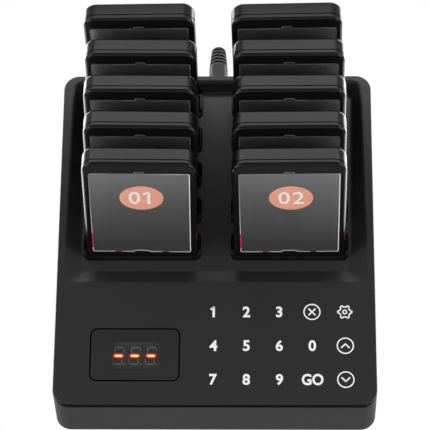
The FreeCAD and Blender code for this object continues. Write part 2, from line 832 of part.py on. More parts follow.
def make_console():
    """The display's window and module with their board, and the keypad's touch board."""
    window = new_body("display_window")
    y, z = deck_place(S.window_along, 0)
    face = new_sketch(window, "XY", offset=z, origin=(window_x, y), tilt=S.deck_slope)
    half_x, half_y = S.window_width / 2, S.window_height / 2
    rounded_rectangle(face, -half_x, half_x, -half_y, half_y, S.window_corner)
    pad(window, face, S.window_wall, reverse=True)
    nodes.append(window)
    digits_top = S.window_wall + S.display_gap
    module = deck_block("digit_block", window_x, S.window_along, S.display_width, S.display_height,
                        digits_top, S.display_depth)
    margin = 2 * S.display_board_margin
    board = deck_block("digit_board", window_x, S.window_along, S.display_width + margin,
                       S.display_height + margin, digits_top + S.display_depth, S.board_wall)
    nodes.append(group("display_module", [module, board]))
    touch = deck_block("touch_board", touch_x, S.touch_along, S.touch_width, S.touch_height,
                       ceiling_drop * cos(S.deck_slope), S.board_wall)
    nodes.append(touch)


# ---------------------------------------------------------------- inside the base
def make_electronics():
    """The main board on its posts, and the radio module with its rod antenna."""
    top = S.foot_lift + S.floor_wall + S.standoff_height
    corner = (-S.main_board_width / 2, main_board_y - S.main_board_depth / 2, top)
    nodes.append(block("main_board", (S.main_board_width, S.main_board_depth, S.board_wall), corner))
    seat = top + S.board_wall
    module = block("radio_can", (S.radio_width, S.radio_depth, S.radio_height),
                   (S.main_board_width / 4, main_board_y, seat))
    aerial = rod("radio_aerial", S.antenna_diameter, S.antenna_length,
                 (-S.main_board_width / 4, main_board_y + S.main_board_depth / 2 - S.antenna_diameter, seat))
    nodes.append(group("radio_module", [module, aerial]))


def make_feet():
    members = []
    for number, (x, y) in enumerate(foot_places, 1):
        members.append(rod(f"foot_{number}", S.foot_diameter, S.foot_lift + S.foot_recess, (x, y, 0)))
    nodes.append(group("feet", members))


def make_screws():
    """Six pan-head screws, from below through the housing's seats into the deck's pillars."""
    members = []
    head_z = S.foot_lift + S.head_sunk
    for number, (x, y) in enumerate(screw_places(), 1):
        head = rod(f"screw_head_{number}", S.head_diameter, S.head_height, (x, y, head_z))
        shank = rod(f"screw_shank_{number}", S.screw_diameter, S.screw_length, (x, y, head_z + S.head_height))
        screw = doc.addObject("Part::Fuse", f"screw_{number}")
        screw.Base = head
        screw.Tool = shank
        members.append(screw)
    nodes.append(group("housing_screws", members))


# The boot's domed end: how far before its tip, and how wide there, in shares of the tip's radius.
DOME = [(0.5, 1), (0.3, 0.9), (0.12, 0.7), (0, 0.36)]


def turned(label, outline):
    """A round piece on the supply lead's line: an outline of (distance back, radius) points."""
    body = new_body(label)
    sketch = new_sketch(body, "YZ", origin=(0, S.jack_height))
    polygon(sketch, outline)
    body.Tip = revolve(body, sketch, "H_Axis")
    return body


def make_supply_fittings():
    """The panel socket in the rear wall and the lead's moulded plug."""
    inner_face = half_depth - S.wall
    front = inner_face - S.jack_length
    jack = turned("dc_jack", [
        (front, 0), (front, S.jack_body / 2), (inner_face - S.jack_flange_wall, S.jack_body / 2),
        (inner_face - S.jack_flange_wall, S.jack_flange / 2), (inner_face, S.jack_flange / 2),
        (inner_face, S.jack_opening / 2), (half_depth, S.jack_opening / 2), (half_depth, S.jack_bore / 2),
        (front + S.jack_bottom, S.jack_bore / 2), (front + S.jack_bottom, S.jack_pin / 2),
        (half_depth - S.jack_bottom, S.jack_pin / 2), (half_depth - S.jack_bottom, 0)])
    nodes.append(jack)
    grip_front = half_depth + S.grip_gap
    grip_back = grip_front + S.grip_length
    barrel_front = grip_front - S.barrel_length
    plug = turned("dc_plug", [
        (barrel_front, S.barrel_bore / 2), (barrel_front, S.barrel_diameter / 2),
        (grip_front, S.barrel_diameter / 2), (grip_front, S.grip_diameter / 2 - 1),
        (grip_front + 1, S.grip_diameter / 2), (grip_back, S.grip_diameter / 2), (grip_back, 0),
        (grip_front, 0), (grip_front, S.barrel_bore / 2)])
    nodes.append(plug)


def boot_outline(start):
    """A tapering boot with ring grooves and a domed end."""
    end = start + S.boot_length
    base_radius = S.grip_diameter / 2
    tip_radius = S.boot_tip_diameter / 2
    taper = (base_radius - tip_radius) / S.boot_length
    pitch = (S.boot_length - 2 * S.boot_groove_start) / S.boot_grooves
    outline = [(start, 0), (start, base_radius)]
    for groove in range(int(S.boot_grooves.value)):
        back = groove * pitch + S.boot_groove_start
        deep = base_radius - taper * back - S.boot_groove_depth
        outline += [(start + back, base_radius - taper * back), (start + back, deep),
                    (start + back + S.boot_groove_width, deep),
                    (start + back + S.boot_groove_width, base_radius - taper * (back + S.boot_groove_width))]
    for before, share in DOME:
        outline.append((end - tip_radius * before, tip_radius * share))
    outline.append((end, 0))
    return outline


# ---------------------------------------------------------------- supply cord
def rounded_path(points):
    """Straight runs joined by tangent arcs. Each arc is as large as its two runs allow."""
    edges = []
    start = points[0]
    for before, corner, after in zip(points, points[1:], points[2:]):
        arriving, leaving = (corner - before).normalize(), (after - corner).normalize()
        turn = arriving.getAngle(leaving)
        trim = 0.45 * min((corner - before).Length, (after - corner).Length)
        radius = trim / math.tan(turn / 2)
        print(f"cord bend radius {radius:.1f} mm, {radius / S.cord_diameter.value:.1f} diameters")
        first, last = corner - arriving * trim, corner + leaving * trim
        inward = (leaving - arriving).normalize()
        middle = corner + inward * (radius / math.cos(turn / 2) - radius)
        edges.append(Part.LineSegment(start, first).toShape())
        edges.append(Part.Arc(first, middle, last).toShape())
        start = last
    edges.append(Part.LineSegment(start, points[-1]).toShape())
    return Part.Wire(edges)


def cord_tube(points):
    path = rounded_path(points)
    direction = points[1] - points[0]
    section = Part.Wire(Part.Circle(points[0], direction, S.cord_diameter.value / 2).toShape())
    tube = path.makePipeShell([section], True, False)
    expected = math.pi * (S.cord_diameter.value / 2) ** 2 * path.Length
    print(f"cord {path.Length:.0f} mm, volume {tube.Volume:.0f} against {expected:.0f} mm3")
    return tube


coil_y = half_depth + S.coil_gap + (S.coil_mean_diameter + S.coil_width) / 2
boot_end = half_depth + S.grip_gap + S.grip_length + S.boot_length


def make_cord():
    """The lead: from the boot down behind the base to its put-away coil, and on to its adapter.
    It bends down inside the boot's soft end. Offsets along it are in cord diameters."""
    thick = S.cord_diameter.value
    lying = thick / 2
    coil = Vector(column_x.value, coil_y.value, lying)
    turns = Vector(0, S.coil_mean_diameter.value / 2, 0)
    tip = Vector(0, boot_end.value, S.jack_height.value)
    foot = Vector(0, tip.y, lying)
    entry = Vector(S.adapter_width.value / 2 - column_x.value, coil.y, S.adapter_entry.value)
    outlet = Vector(entry.x, coil.y, lying)
    down = [tip + Vector(0, -3.5, 0) * thick, tip + Vector(0, -0.9, 0) * thick,
            tip + Vector(0, 1, -3.3) * thick, tip + Vector(0.1, 1.15, -7.6) * thick,
            tip + Vector(0.45, 0.3, -11.5) * thick, foot + Vector(1.8, -1.7, 1.4) * thick,
            foot + Vector(4.1, -4.4, 0.12) * thick, coil - turns + Vector(-5.6, 1.2, 0.06) * thick,
            coil - turns + Vector(-0.9, 0, 0) * thick]
    out = [coil + turns + Vector(0.6, 0, 0) * thick, coil + turns + Vector(-5.9, 0.2, 0) * thick,
           coil + turns + Vector(-11.5, -3.8, 0) * thick, outlet + Vector(2.4, 0.9, 0.3) * thick, entry]
    runs = []
    for label, points in (("cord_fall", down), ("cord_outlet", out)):
        run = doc.addObject("Part::Feature", label)
        run.Label = label
        run.Shape = cord_tube(points)
        runs.append(run)
    nodes.append(group("power_cord", runs))
    boot = doc.addObject("Part::Cut", "strain_relief")
    boot.Label = "strain_relief"
    boot.Base = turned("boot_body", boot_outline(boot_end - S.boot_length))
    boot.Tool = runs[0]
    nodes.append(boot)
    hank = new_body("cord_coil")
    sketch = new_sketch(hank, "XZ", offset=-coil_y, origin=(column_x, 0))
    inner = (S.coil_mean_diameter - S.coil_width) / 2
    outer = inner + S.coil_width
    edge = S.coil_edge
    polygon(sketch, [(inner + edge, 0), (outer - edge, 0), (outer, edge), (outer, S.coil_height - edge),
                     (outer - edge, S.coil_height), (inner + edge, S.coil_height),
                     (inner, S.coil_height - edge), (inner, edge)])
    hank.Tip = revolve(hank, sketch, "V_Axis")
    nodes.append(hank)


def make_adapter():
    """The plug-in power supply at the lead's end: a rounded block with two flat blades."""
    body = new_body("adapter_body")
    base = new_sketch(body, "XY")
    left = -column_x - S.adapter_width / 2
    front = coil_y - S.adapter_depth / 2
    rounded_rectangle(base, left, left + S.adapter_width, front, front + S.adapter_depth, S.adapter_edge)
    case = pad(body, base, S.adapter_height)
    body.Tip = fillet(body, case, S.adapter_edge / 2, lambda edge: not is_upright(edge))
    blades = []
    for side in SIDES:
        x = -column_x + side * S.blade_spacing / 2 - S.blade_wall / 2
        corner = (x, front + S.adapter_depth, S.adapter_height / 2 - S.blade_width / 2)
        size = (S.blade_wall, S.blade_length, S.blade_width)
        blades.append(block(f"adapter_blade_{side + 2}", size, corner))
    nodes.append(group("wall_adapter", [body] + blades))


# ---------------------------------------------------------------- pagers
# Each pager is modelled upright in its own frame: X across, Y to its back, Z up along it, with
# the origin in the middle of its foot. The ten pagers are placed copies of these pieces.
half_pager = S.pager_width / 2
half_thick = S.pager_thickness / 2
face_back = S.front_depth - half_thick          # back of the front shell's rim
seam_back = face_back + S.seam_gap
lens_low = S.pager_height - S.lens_top - S.lens_height
lens_seat = S.lens_wall - S.lens_proud + S.card_wall


def pager_sketch(body, y, inset, radius=None):
    """An outline of the pager at a place Y, set in from its edge."""
    sketch = new_sketch(body, "XZ", offset=-Size.of(y))
    rounded_rectangle(sketch, inset - half_pager, half_pager - inset, Size.of(inset),
                      S.pager_height - inset, S.pager_corner - inset if radius is None else radius)
    return sketch


def in_plane_y(y):
    """A test for edges that lie in a plane at a place Y."""
    return lambda edge: all(abs(vertex.Y - y.value) < 0.01 for vertex in edge.Vertexes)


def tab_outline(sketch, grow):
    """The small tab on the clear cover's top edge, grown by a size at its sides and its top."""
    half = S.tab_width / 2 + grow
    top = lens_low + S.lens_height
    low, high = top - S.tab_height, top + S.tab_height + grow
    polygon(sketch, [(-half, low), (half, low), (half, high), (-half, high)])


def lens_outline(sketch, grow, radius):
    """The clear cover's outline, grown by a size all round."""
    grow = Size.of(grow)
    half = S.lens_width / 2 + grow
    rounded_rectangle(sketch, -half, half, lens_low - grow, lens_low + S.lens_height + grow, radius)


def make_back_shell():
    """The pager's deep back shell, open at its front, with two contact openings in its foot."""
    body = new_body("pager_back_shell")
    shell = pad(body, pager_sketch(body, half_thick, Size.of(0)), half_thick - seam_back)
    fillet(body, shell, S.back_edge, in_plane_y(half_thick))
    hollow = pager_sketch(body, seam_back, S.shell_wall)
    pocket(body, hollow, half_thick - seam_back - S.shell_wall)
    openings = new_sketch(body, "XY")
    for side in SIDES:
        left = side * S.contact_offset - S.contact_width / 2
        right = left + S.contact_width
        near, far = -S.contact_depth / 2, S.contact_depth / 2
        polygon(openings, [(left, near), (right, near), (right, far), (left, far)])
    pocket(body, openings, S.shell_wall + 1, reverse=True)
    return body


def make_front_shell():
    """The pager's front shell: a rounded frame with a stepped seat for the card and the lens."""
    body = new_body("pager_front_shell")
    face = pad(body, pager_sketch(body, face_back, Size.of(0)), S.front_depth)
    fillet(body, face, S.front_edge, in_plane_y(-half_thick))
    pad(body, pager_sketch(body, face_back, S.seam_depth), S.seam_gap, reverse=True)
    tongue = pager_sketch(body, seam_back, S.shell_wall + S.tongue_clearance)
    pad(body, tongue, S.tongue_length, reverse=True)
    seat = new_sketch(body, "XZ", offset=half_thick)
    lens_outline(seat, S.lens_fit, S.lens_corner + S.lens_fit)
    pocket(body, seat, lens_seat)
    tab_seat = new_sketch(body, "XZ", offset=half_thick)
    tab_outline(tab_seat, S.lens_fit)
    pocket(body, tab_seat, lens_seat)
    opening = new_sketch(body, "XZ", offset=half_thick)
    lens_outline(opening, -S.view_margin, S.view_corner)
    pocket(body, opening, S.pager_thickness)
    return body


def make_lens():
    """The clear cover of the pager's face, with a tab on its top and a notch in its bottom edge."""
    body = new_body("pager_lens")
    face = half_thick + S.lens_proud
    outline = new_sketch(body, "XZ", offset=face)
    lens_outline(outline, 0, S.lens_corner)
    pad(body, outline, S.lens_wall, reverse=True)
    tab = new_sketch(body, "XZ", offset=face)
    tab_outline(tab, 0)
    pad(body, tab, S.lens_wall, reverse=True)
    notch = new_sketch(body, "XZ", offset=face)
    half, slant = S.notch_width / 2, S.notch_depth / 2
    polygon(notch, [(slant - half, lens_low + S.notch_depth), (half - slant, lens_low + S.notch_depth),
                    (half + slant, lens_low - S.notch_depth), (-half - slant, lens_low - S.notch_depth)])
    pocket(body, notch, S.lens_wall + 1)
    return body


def make_pager_inside():
    """The pieces inside a pager: number card, board, cell, shaker motor and charging contacts."""
    card = new_body("pager_card")
    card_face = new_sketch(card, "XZ", offset=half_thick + S.card_wall - lens_seat)
    lens_outline(card_face, 0, S.lens_corner)
    pad(card, card_face, S.card_wall, reverse=True)
    board_front = seam_back + S.tongue_length
    margin = S.shell_wall + 2
    board_size = (S.pager_width - 2 * margin, S.pager_board_wall, S.pager_height - 2 * margin)
    board = block("pager_board", board_size, (margin - half_pager, board_front, margin))
    behind = board_front + S.pager_board_wall
    cell = block("pager_cell", (S.cell_width, S.cell_thickness, S.cell_height),
                 (-S.cell_width / 2, behind, S.pager_height / 2 - S.cell_height / 3))
    motor_foot = (0, behind + S.motor_length, 2 * margin + S.motor_diameter / 2)
    motor = rod("pager_motor", S.motor_diameter, S.motor_length, motor_foot, tilt=Size.of(90))
    contacts = []
    for side in SIDES:
        corner = (side * S.contact_offset - S.contact_width / 2, -S.contact_depth / 2, S.contact_recess)
        size = (S.contact_width, S.contact_depth, S.contact_wall)
        contacts.append(block(f"pager_contact_{side + 2}", size, corner))
    return group("pager_inside", [card, board, cell, motor] + contacts)


# How far each pager leans to the left in its socket, as a share of its play, front row first.
PLAY_SHARES = {1: -0.27, 2: 0.2, 3: -0.3, 4: 0.16, 5: -0.15, 6: 0.12, 7: -0.12, 8: 0.14, 9: 0.24, 10: 0.39}


def pager_placement(number):
    """Where a pager stands: odd numbers in the left column, even in the right, front row first.
    A pager that leans sideways stands on one corner of its foot."""
    row, side = (number - 1) // 2, -1 if number % 2 else 1
    y, z = socket_place(row, 0, S.seat_gap - S.slot_depth)
    play = math.atan2(2 * S.side_play.value, S.slot_depth.value + S.ear_height.value)
    sideways = PLAY_SHARES[number] * play
    lean = Rotation(Vector(1, 0, 0), -S.lean.value)
    turn = lean.multiply(Rotation(Vector(0, 1, 0), -math.degrees(sideways)))
    pivot = Vector(0, 0, S.slot_depth.value / 2)
    lift = Vector(0, 0, (half_pager.value - S.pager_corner.value) * math.sin(abs(sideways)))
    foot = Vector(side * column_x.value, y.value, z.value)
    return Placement(foot + lean.multVec(pivot + lift) - turn.multVec(pivot), turn)


def make_pagers():
    masters = {"back_shell": make_back_shell(), "front_shell": make_front_shell(), "lens": make_lens(),
               "inside": make_pager_inside()}
    doc.recompute()
    for number in sorted(PLAY_SHARES):
        for piece, master in masters.items():
            copy = doc.addObject("App::Link", f"pager_{number:02d}_{piece}")
            copy.Label = f"pager_{number:02d}_{piece}"
            copy.LinkedObject = master
            copy.Placement = pager_placement(number)
            nodes.append(copy)


# ---------------------------------------------------------------- the assembly
make_base_housing()
make_top_cover()
make_socket_frame(-1, "socket_frame_left")
make_socket_frame(1, "socket_frame_right")
make_charge_contacts()
make_console()
make_electronics()
make_feet()
make_screws()
make_supply_fittings()
make_cord()
make_adapter()
make_pagers()
doc.recompute()

for item in doc.Objects:
    broken = {"Invalid", "Error"} & set(item.State)
    if broken:
        raise RuntimeError(f"{item.Name} did not build: {sorted(broken)}")

os.makedirs("parts", exist_ok=True)
for node in nodes:
    shape = Part.getShape(node)
    if shape.isNull() or not shape.isValid():
        raise RuntimeError(f"{node.Label} has no valid shape")
    shape.exportStep(f"parts/{node.Label}.step")
print(len(nodes), "nodes")
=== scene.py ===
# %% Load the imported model
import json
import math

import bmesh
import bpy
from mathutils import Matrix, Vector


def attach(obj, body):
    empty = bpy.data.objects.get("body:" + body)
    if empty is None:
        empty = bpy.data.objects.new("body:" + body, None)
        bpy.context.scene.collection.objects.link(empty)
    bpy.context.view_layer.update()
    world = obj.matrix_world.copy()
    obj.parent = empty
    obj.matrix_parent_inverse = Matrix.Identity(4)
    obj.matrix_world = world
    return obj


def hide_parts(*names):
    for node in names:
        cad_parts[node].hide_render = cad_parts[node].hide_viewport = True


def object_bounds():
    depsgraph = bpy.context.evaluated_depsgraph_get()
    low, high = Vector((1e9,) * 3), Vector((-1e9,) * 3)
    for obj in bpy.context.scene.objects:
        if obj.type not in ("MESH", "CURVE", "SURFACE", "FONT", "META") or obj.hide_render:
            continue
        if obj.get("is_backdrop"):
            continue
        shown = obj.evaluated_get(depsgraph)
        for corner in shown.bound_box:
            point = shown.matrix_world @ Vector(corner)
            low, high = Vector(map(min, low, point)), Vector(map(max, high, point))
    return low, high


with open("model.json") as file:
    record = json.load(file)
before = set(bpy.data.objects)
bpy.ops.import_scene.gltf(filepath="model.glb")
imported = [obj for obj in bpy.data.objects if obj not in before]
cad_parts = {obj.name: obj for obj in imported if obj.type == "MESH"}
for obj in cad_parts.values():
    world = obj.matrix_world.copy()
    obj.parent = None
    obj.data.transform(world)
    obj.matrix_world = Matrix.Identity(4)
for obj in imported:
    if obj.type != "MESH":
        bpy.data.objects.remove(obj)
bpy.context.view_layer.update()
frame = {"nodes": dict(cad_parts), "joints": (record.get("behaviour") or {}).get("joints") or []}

# %% [markdown]
# # A guest pager system
#
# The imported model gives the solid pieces: a wedge-shaped charging base, two columns of glossy
# sockets and ten pagers. This lesson adds what solids can't say: how each plastic takes the
# light, the printing on the keypad, the numbered cards behind the pagers' clear covers, the
# glowing digits and the supply cord. Lengths are in metres, X to the right, Y to the back and
# Z up, with the origin on the table under the middle of the base.

MM = 0.001
scene = bpy.context.scene


def add_object(name, data):
    """Puts new data in the scene as an object."""
    thing = bpy.data.objects.new(name, data)
    scene.collection.objects.link(thing)
    return thing


# %% [markdown]
# ## The camera
#
# Small products are best shown through a long lens from well above the front, so that the
# columns of pagers hardly narrow towards the back. The camera stands a little to the right
# of the middle and looks back and down. A small turn to the left and a small lift bring the
# object into the middle of the frame, so that the lens needs no shift. The camera comes
# first, because the cord's hidden length has to lie where it can't see it.

# %% Set the camera
FRAME_SIDE = 430              # pixels of the square frame
FOCAL_PIXELS = 2107.5
SENSOR_WIDTH = 36             # millimetres
CAMERA_ELEVATION = math.radians(56.3)
CAMERA_SIDE = 29.6 * MM       # to the right of the object's middle
CAMERA_DISTANCE = 1355.9 * MM
CAMERA_TARGET = Vector((0, 0, 40 * MM))
CAMERA_TURN = math.radians(1.290)   # to the left, about its own upright axis
CAMERA_LIFT = math.radians(0.965)   # and then upwards
NEAREST, FARTHEST = 0.05, 30


def make_camera():
    data = bpy.data.cameras.new("camera")
    camera = add_object("camera", data)
    scene.camera = camera
    forward = Vector((0, math.cos(CAMERA_ELEVATION), -math.sin(CAMERA_ELEVATION)))
    camera.location = CAMERA_TARGET - forward * CAMERA_DISTANCE + Vector((CAMERA_SIDE, 0, 0))
    downward = Matrix.Rotation(math.pi / 2 - CAMERA_ELEVATION, 4, "X")
    turn = Matrix.Rotation(CAMERA_TURN, 4, "Y")
    lift = Matrix.Rotation(CAMERA_LIFT, 4, "X")
    camera.rotation_euler = (downward @ turn @ lift).to_euler()
    data.sensor_width = SENSOR_WIDTH
    data.lens = FOCAL_PIXELS / FRAME_SIDE * SENSOR_WIDTH
    data.clip_start, data.clip_end = NEAREST, FARTHEST
    return camera


camera = make_camera()
print(f"lens {camera.data.lens:.0f} mm, {CAMERA_DISTANCE:.2f} m away")

# %% [markdown]
# ## Shader maths written as expressions
#
# Every finish below is a small sum: a base value plus a little noise. Node trees for such
# sums are long, so one class wraps a socket and lets Python's own operators add the Math
# nodes. `1 - mask` or `0.4 + 0.1 * grain` then reads as it would on paper.

# %% A socket that can be added and multiplied
class Wire:
    """A number or a colour that varies over a surface: one output socket of a node."""

    def __init__(self, shading, socket):
        self.shading = shading
        self.socket = socket

    def maths(self, operation, first, second):
        settings = {"operation": operation}
        return self.shading.node("ShaderNodeMath", settings, {0: first, 1: second})

    def __add__(self, other):
        return self.maths("ADD", self, other)

    def __radd__(self, other):
        return self.maths("ADD", other, self)

    def __sub__(self, other):
        return self.maths("SUBTRACT", self, other)

    def __rsub__(self, other):
        return self.maths("SUBTRACT", other, self)

    def __mul__(self, other):
        return self.maths("MULTIPLY", self, other)

    def __rmul__(self, other):
        return self.maths("MULTIPLY", other, self)

    def __abs__(self):
        return self.maths("ABSOLUTE", self, 0.0)

    def or_more(self, other):
        """The larger of the two."""
        return self.maths("MAXIMUM", self, other)

    def ease(self, low, high):
        """0 below low, 1 above high and a smooth rise between them."""
        settings = {"interpolation_type": "SMOOTHSTEP"}
        values = {"Value": self, "From Min": low, "From Max": high}
        return self.shading.node("ShaderNodeMapRange", settings, values)


print("values over a surface can be added, taken away and multiplied")

# %% Node trees that grow one node at a time
def scaled(colour, factor):
    return tuple(channel * factor for channel in colour)


class Shading:
    """The nodes of a material or of the world."""

    def __init__(self, tree):
        self.tree = tree

    def node(self, kind, settings=None, inputs=None, output=0):
        """Adds a node: its settings first, then values or wires for its sockets."""
        node = self.tree.nodes.new(kind)
        for name, value in (settings or {}).items():
            setattr(node, name, value)
        for name, value in (inputs or {}).items():
            self.join(node.inputs[name], value)
        return Wire(self, node.outputs[output])

    def join(self, socket, value):
        if isinstance(value, Wire):
            self.tree.links.new(value.socket, socket)
        else:
            socket.default_value = value

    def blend(self, mask, first, second):
        """A colour between two others."""
        settings = {"data_type": "RGBA"}
        tones = [tone if isinstance(tone, Wire) else (*tone, 1) for tone in (first, second)]
        colours = {0: mask, 6: tones[0], 7: tones[1]}
        return self.node("ShaderNodeMix", settings, colours, output=2)

    def ramp(self, value, greys):
        """Greys along a value from 0 to 1, as pairs of a place and a brightness."""
        shade = self.node("ShaderNodeValToRGB", None, {"Fac": value})
        stops = shade.socket.node.color_ramp.elements
        while len(stops) < len(greys):
            stops.new(0.5)
        for stop, (place, grey) in zip(stops, greys):
            stop.position, stop.color = place, (grey, grey, grey, 1)
        return shade


class Paint(Shading):
    """One material in the making: its nodes and the Principled shader that they feed."""

    def __init__(self, name, colour, roughness, **fixed):
        self.material = bpy.data.materials.new(name)
        self.material.use_nodes = True
        super().__init__(self.material.node_tree)
        self.shader = self.tree.nodes["Principled BSDF"]
        self.place = self.node("ShaderNodeTexCoord", output="Object")
        self.feed("Base Color", (*colour, 1))
        self.feed("Roughness", roughness)
        for socket, value in fixed.items():
            self.feed(socket.replace("_", " "), value)

    def feed(self, socket, value):
        self.join(self.shader.inputs[socket], value)

    def axis(self, name):
        """The place along X, Y or Z."""
        return self.node("ShaderNodeSeparateXYZ", None, {"Vector": self.place}, output=name)

    def attribute(self, name):
        """A number that the mesh carries at its vertices."""
        return self.node("ShaderNodeAttribute", {"attribute_name": name}, output="Fac")

    def noise(self, size, detail=2):
        """Soft noise from 0 to 1 whose blotches are about this size."""
        values = {"Vector": self.place, "Scale": 1 / size, "Detail": detail}
        return self.node("ShaderNodeTexNoise", None, values)

    def mottle(self, blotches, colour, darkest, lightest):
        """A colour that is darker and lighter in blotches."""
        return self.blend(blotches, scaled(colour, darkest), scaled(colour, lightest))

    def bump(self, height, depth):
        values = {"Height": height, "Distance": depth, "Strength": 1.0}
        self.feed("Normal", self.node("ShaderNodeBump", None, values))


print("Wire, Shading and Paint are ready")

# %% [markdown]
# ## Plastics
#
# Injection-moulded cases come out of a mould whose steel was etched or sparked, which leaves
# a fine even grain. It is too small to see one by one at this distance, but it spreads the
# reflections, so it is made as a bump a few hundredths of a millimetre deep with a roughness
# that wanders a little from place to place. The sockets and the pagers' shells come out of
# polished moulds instead. Their finish is smooth, with a faint waviness that bends the edges
# of reflections, as thin glossy walls always have.
#
# Where two pieces meet there is a thin gap that hardly any light gets into. Such lines, and
# the front of the deck's rim, are painted black by masks as painted shade. Each is worked out
# from the place of the deck's sloping plane.

# %% Black lines under the deck's rim
DECK_SLOPE = math.radians(12.2)
DECK_FRONT = Vector((0, -110.25, 34)) * MM
# depths are measured straight down from the deck's plane, and pairs say where a mask rises
HOUSING_LEDGE_DEPTH = (3.3 * MM, 3.9 * MM)
GROOVE_REACH = (97 * MM, 107 * MM)    # the groove is farther out than this, across and along
GROOVE_EDGE = (0.0, 0.2 * MM)
GROOVE_DEPTH = (1.15 * MM, 1.3 * MM)
RIM_FRONT = (-109.9 * MM, -109.3 * MM)
RIM_DEPTH = (0.1 * MM, 0.3 * MM)
RIM_SHADE = 0.9               # how black the rim's front gets, from 0 to 1


def drop_below_deck(paint):
    """How far a point lies under the deck's plane, measured straight down."""
    level = (paint.axis("Y") - DECK_FRONT.y) * math.tan(DECK_SLOPE) + DECK_FRONT.z
    return level - paint.axis("Z")


def housing_groove(paint):
    """1 on the ledge where the deck's rim meets the housing and just under it, where shade is
    painted.
    """
    return 1 - drop_below_deck(paint).ease(*HOUSING_LEDGE_DEPTH)


def deck_groove(paint):
    """1 in the groove that runs round under the deck's rim, and on the rim's shaded front."""
    drop = drop_below_deck(paint)
    across, along = [abs(paint.axis(name)) - reach for name, reach in zip("XY", GROOVE_REACH)]
    groove = across.or_more(along).ease(*GROOVE_EDGE) * drop.ease(*GROOVE_DEPTH)
    front = 1 - paint.axis("Y").ease(*RIM_FRONT)
    rim = front * drop.ease(*RIM_DEPTH) * RIM_SHADE
    return rim.or_more(groove)


print("the deck's front edge is", round(DECK_FRONT.z / MM, 1), "mm above the table")

# %% Grained and polished plastic
GROOVE_BLACK = (0.0015, 0.0015, 0.0015)
CASE_BLACK = (0.0085, 0.0085, 0.0091)
CASE_ROUGHNESS = 0.42
GRAIN = 0.35 * MM


def blacken(paint, colour, mask):
    """The colour, painted dead black under a mask as shade.

    Plastic mirrors a little at any roughness, and a black metal mirrors nothing.
    """
    paint.feed("Metallic", mask)
    return paint.blend(mask, colour, GROOVE_BLACK)


def grained_plastic(name, colour, roughness, groove=None):
    paint = Paint(name, colour, roughness, Specular_IOR_Level=0.45)
    cloud = paint.noise(30 * MM)
    shade = paint.mottle(cloud, colour, 0.9, 1.12)
    if groove:
        shade = blacken(paint, shade, groove(paint))
    paint.feed("Base Color", shade)
    paint.feed("Roughness", roughness - 0.04 + 0.08 * cloud)
    paint.bump(paint.noise(GRAIN, detail=3), 0.02 * MM)
    return paint.material


def polished_plastic(name, colour, roughness, gloss):
    paint = Paint(name, colour, roughness, Specular_IOR_Level=gloss)
    smear = paint.noise(14 * MM, detail=4)
    paint.feed("Roughness", roughness - 0.03 + 0.09 * smear)
    paint.bump(paint.noise(9 * MM, detail=1), 0.02 * MM)
    return paint.material


housing_finish = grained_plastic("housing_plastic", CASE_BLACK, CASE_ROUGHNESS, housing_groove)
deck_finish = grained_plastic("deck_plastic", CASE_BLACK, CASE_ROUGHNESS, deck_groove)
socket_finish = polished_plastic("socket_plastic", (0.004, 0.004, 0.0042), 0.14, 0.12)
shell_finish = polished_plastic("pager_plastic", (0.004, 0.004, 0.0043), 0.17, 0.18)
plug_finish = grained_plastic("plug_plastic", (0.015, 0.015, 0.016), 0.4)
adapter_finish = grained_plastic("adapter_plastic", (0.018, 0.018, 0.019), 0.5)
print("the grain is", GRAIN / MM, "mm wide")

# %% [markdown]
# ## Rubber, metal, boards and the rest
#
# The feet, the boot and the cord are soft and dull, and the boot's ring grooves are painted
# black as shade.
# Contacts are thin gold over brass, the screws are zinc-plated steel, and the boards are the
# usual green laminate. Most of these sit inside the base, and still get a finish of their
# own, because the pieces can be taken apart and looked at one by one.

# %% Rubber and the boot's ring grooves
BOOT_GREY = (0.05, 0.05, 0.051)
RING_GROOVES = 5
RING_PITCH = 2.86 * MM        # along Y
FIRST_RING = 139.85 * MM      # the middle of the groove that is nearest to the base
RINGS_LENGTH = (RING_GROOVES - 1) * RING_PITCH


def ring_groove_shade(paint):
    """1 in the grooves, where shade is painted, and 0 on the ribs between them."""
    back = paint.axis("Y") - FIRST_RING
    before = back.ease(-0.9 * MM, -0.7 * MM)
    after = back.ease(RINGS_LENGTH + 0.7 * MM, RINGS_LENGTH + 0.9 * MM)
    from_groove = back.maths("PINGPONG", back, RING_PITCH / 2)
    return before * (1 - after) * (1 - from_groove.ease(0.6 * MM, 0.8 * MM))


def rubber(name, colour, roughness, groove=None, **fixed):
    paint = Paint(name, colour, roughness, **fixed)
    shade = paint.mottle(paint.noise(4 * MM, detail=5), colour, 0.8, 1.3)
    if groove:
        shade = blacken(paint, shade, groove(paint))
    paint.feed("Base Color", shade)
    paint.bump(paint.noise(0.5 * MM), 0.03 * MM)
    return paint.material


foot_finish = rubber("foot_rubber", (0.02, 0.02, 0.021), 0.6)
# the boot's grooves are painted black as shade
boot_finish = rubber("boot_rubber", BOOT_GREY, 0.55, ring_groove_shade, Specular_IOR_Level=0.3)
jacket_finish = rubber("cord_jacket", (0.014, 0.014, 0.015), 0.5)
print("the ring grooves reach", round((FIRST_RING + RINGS_LENGTH) / MM, 1), "mm back")

# %% Metal and boards
BOARD_GREEN = (0.01, 0.075, 0.03)
WEAVES_PER_METRE = 900


def metal(name, colour, roughness):
    paint = Paint(name, colour, roughness, Metallic=1.0)
    wear = paint.noise(2 * MM, detail=5)
    paint.feed("Base Color", paint.mottle(wear, colour, 0.85, 1.0))
    paint.feed("Roughness", roughness - 0.06 + 0.14 * wear)
    return paint.material


def laminate(name):
    paint = Paint(name, BOARD_GREEN, 0.35)
    values = {"Vector": paint.place, "Scale": WEAVES_PER_METRE}
    weave = paint.node("ShaderNodeTexVoronoi", {"distance": "CHEBYCHEV"}, values)
    paint.feed("Base Color", paint.mottle(weave, BOARD_GREEN, 0.75, 1.5))
    return paint.material


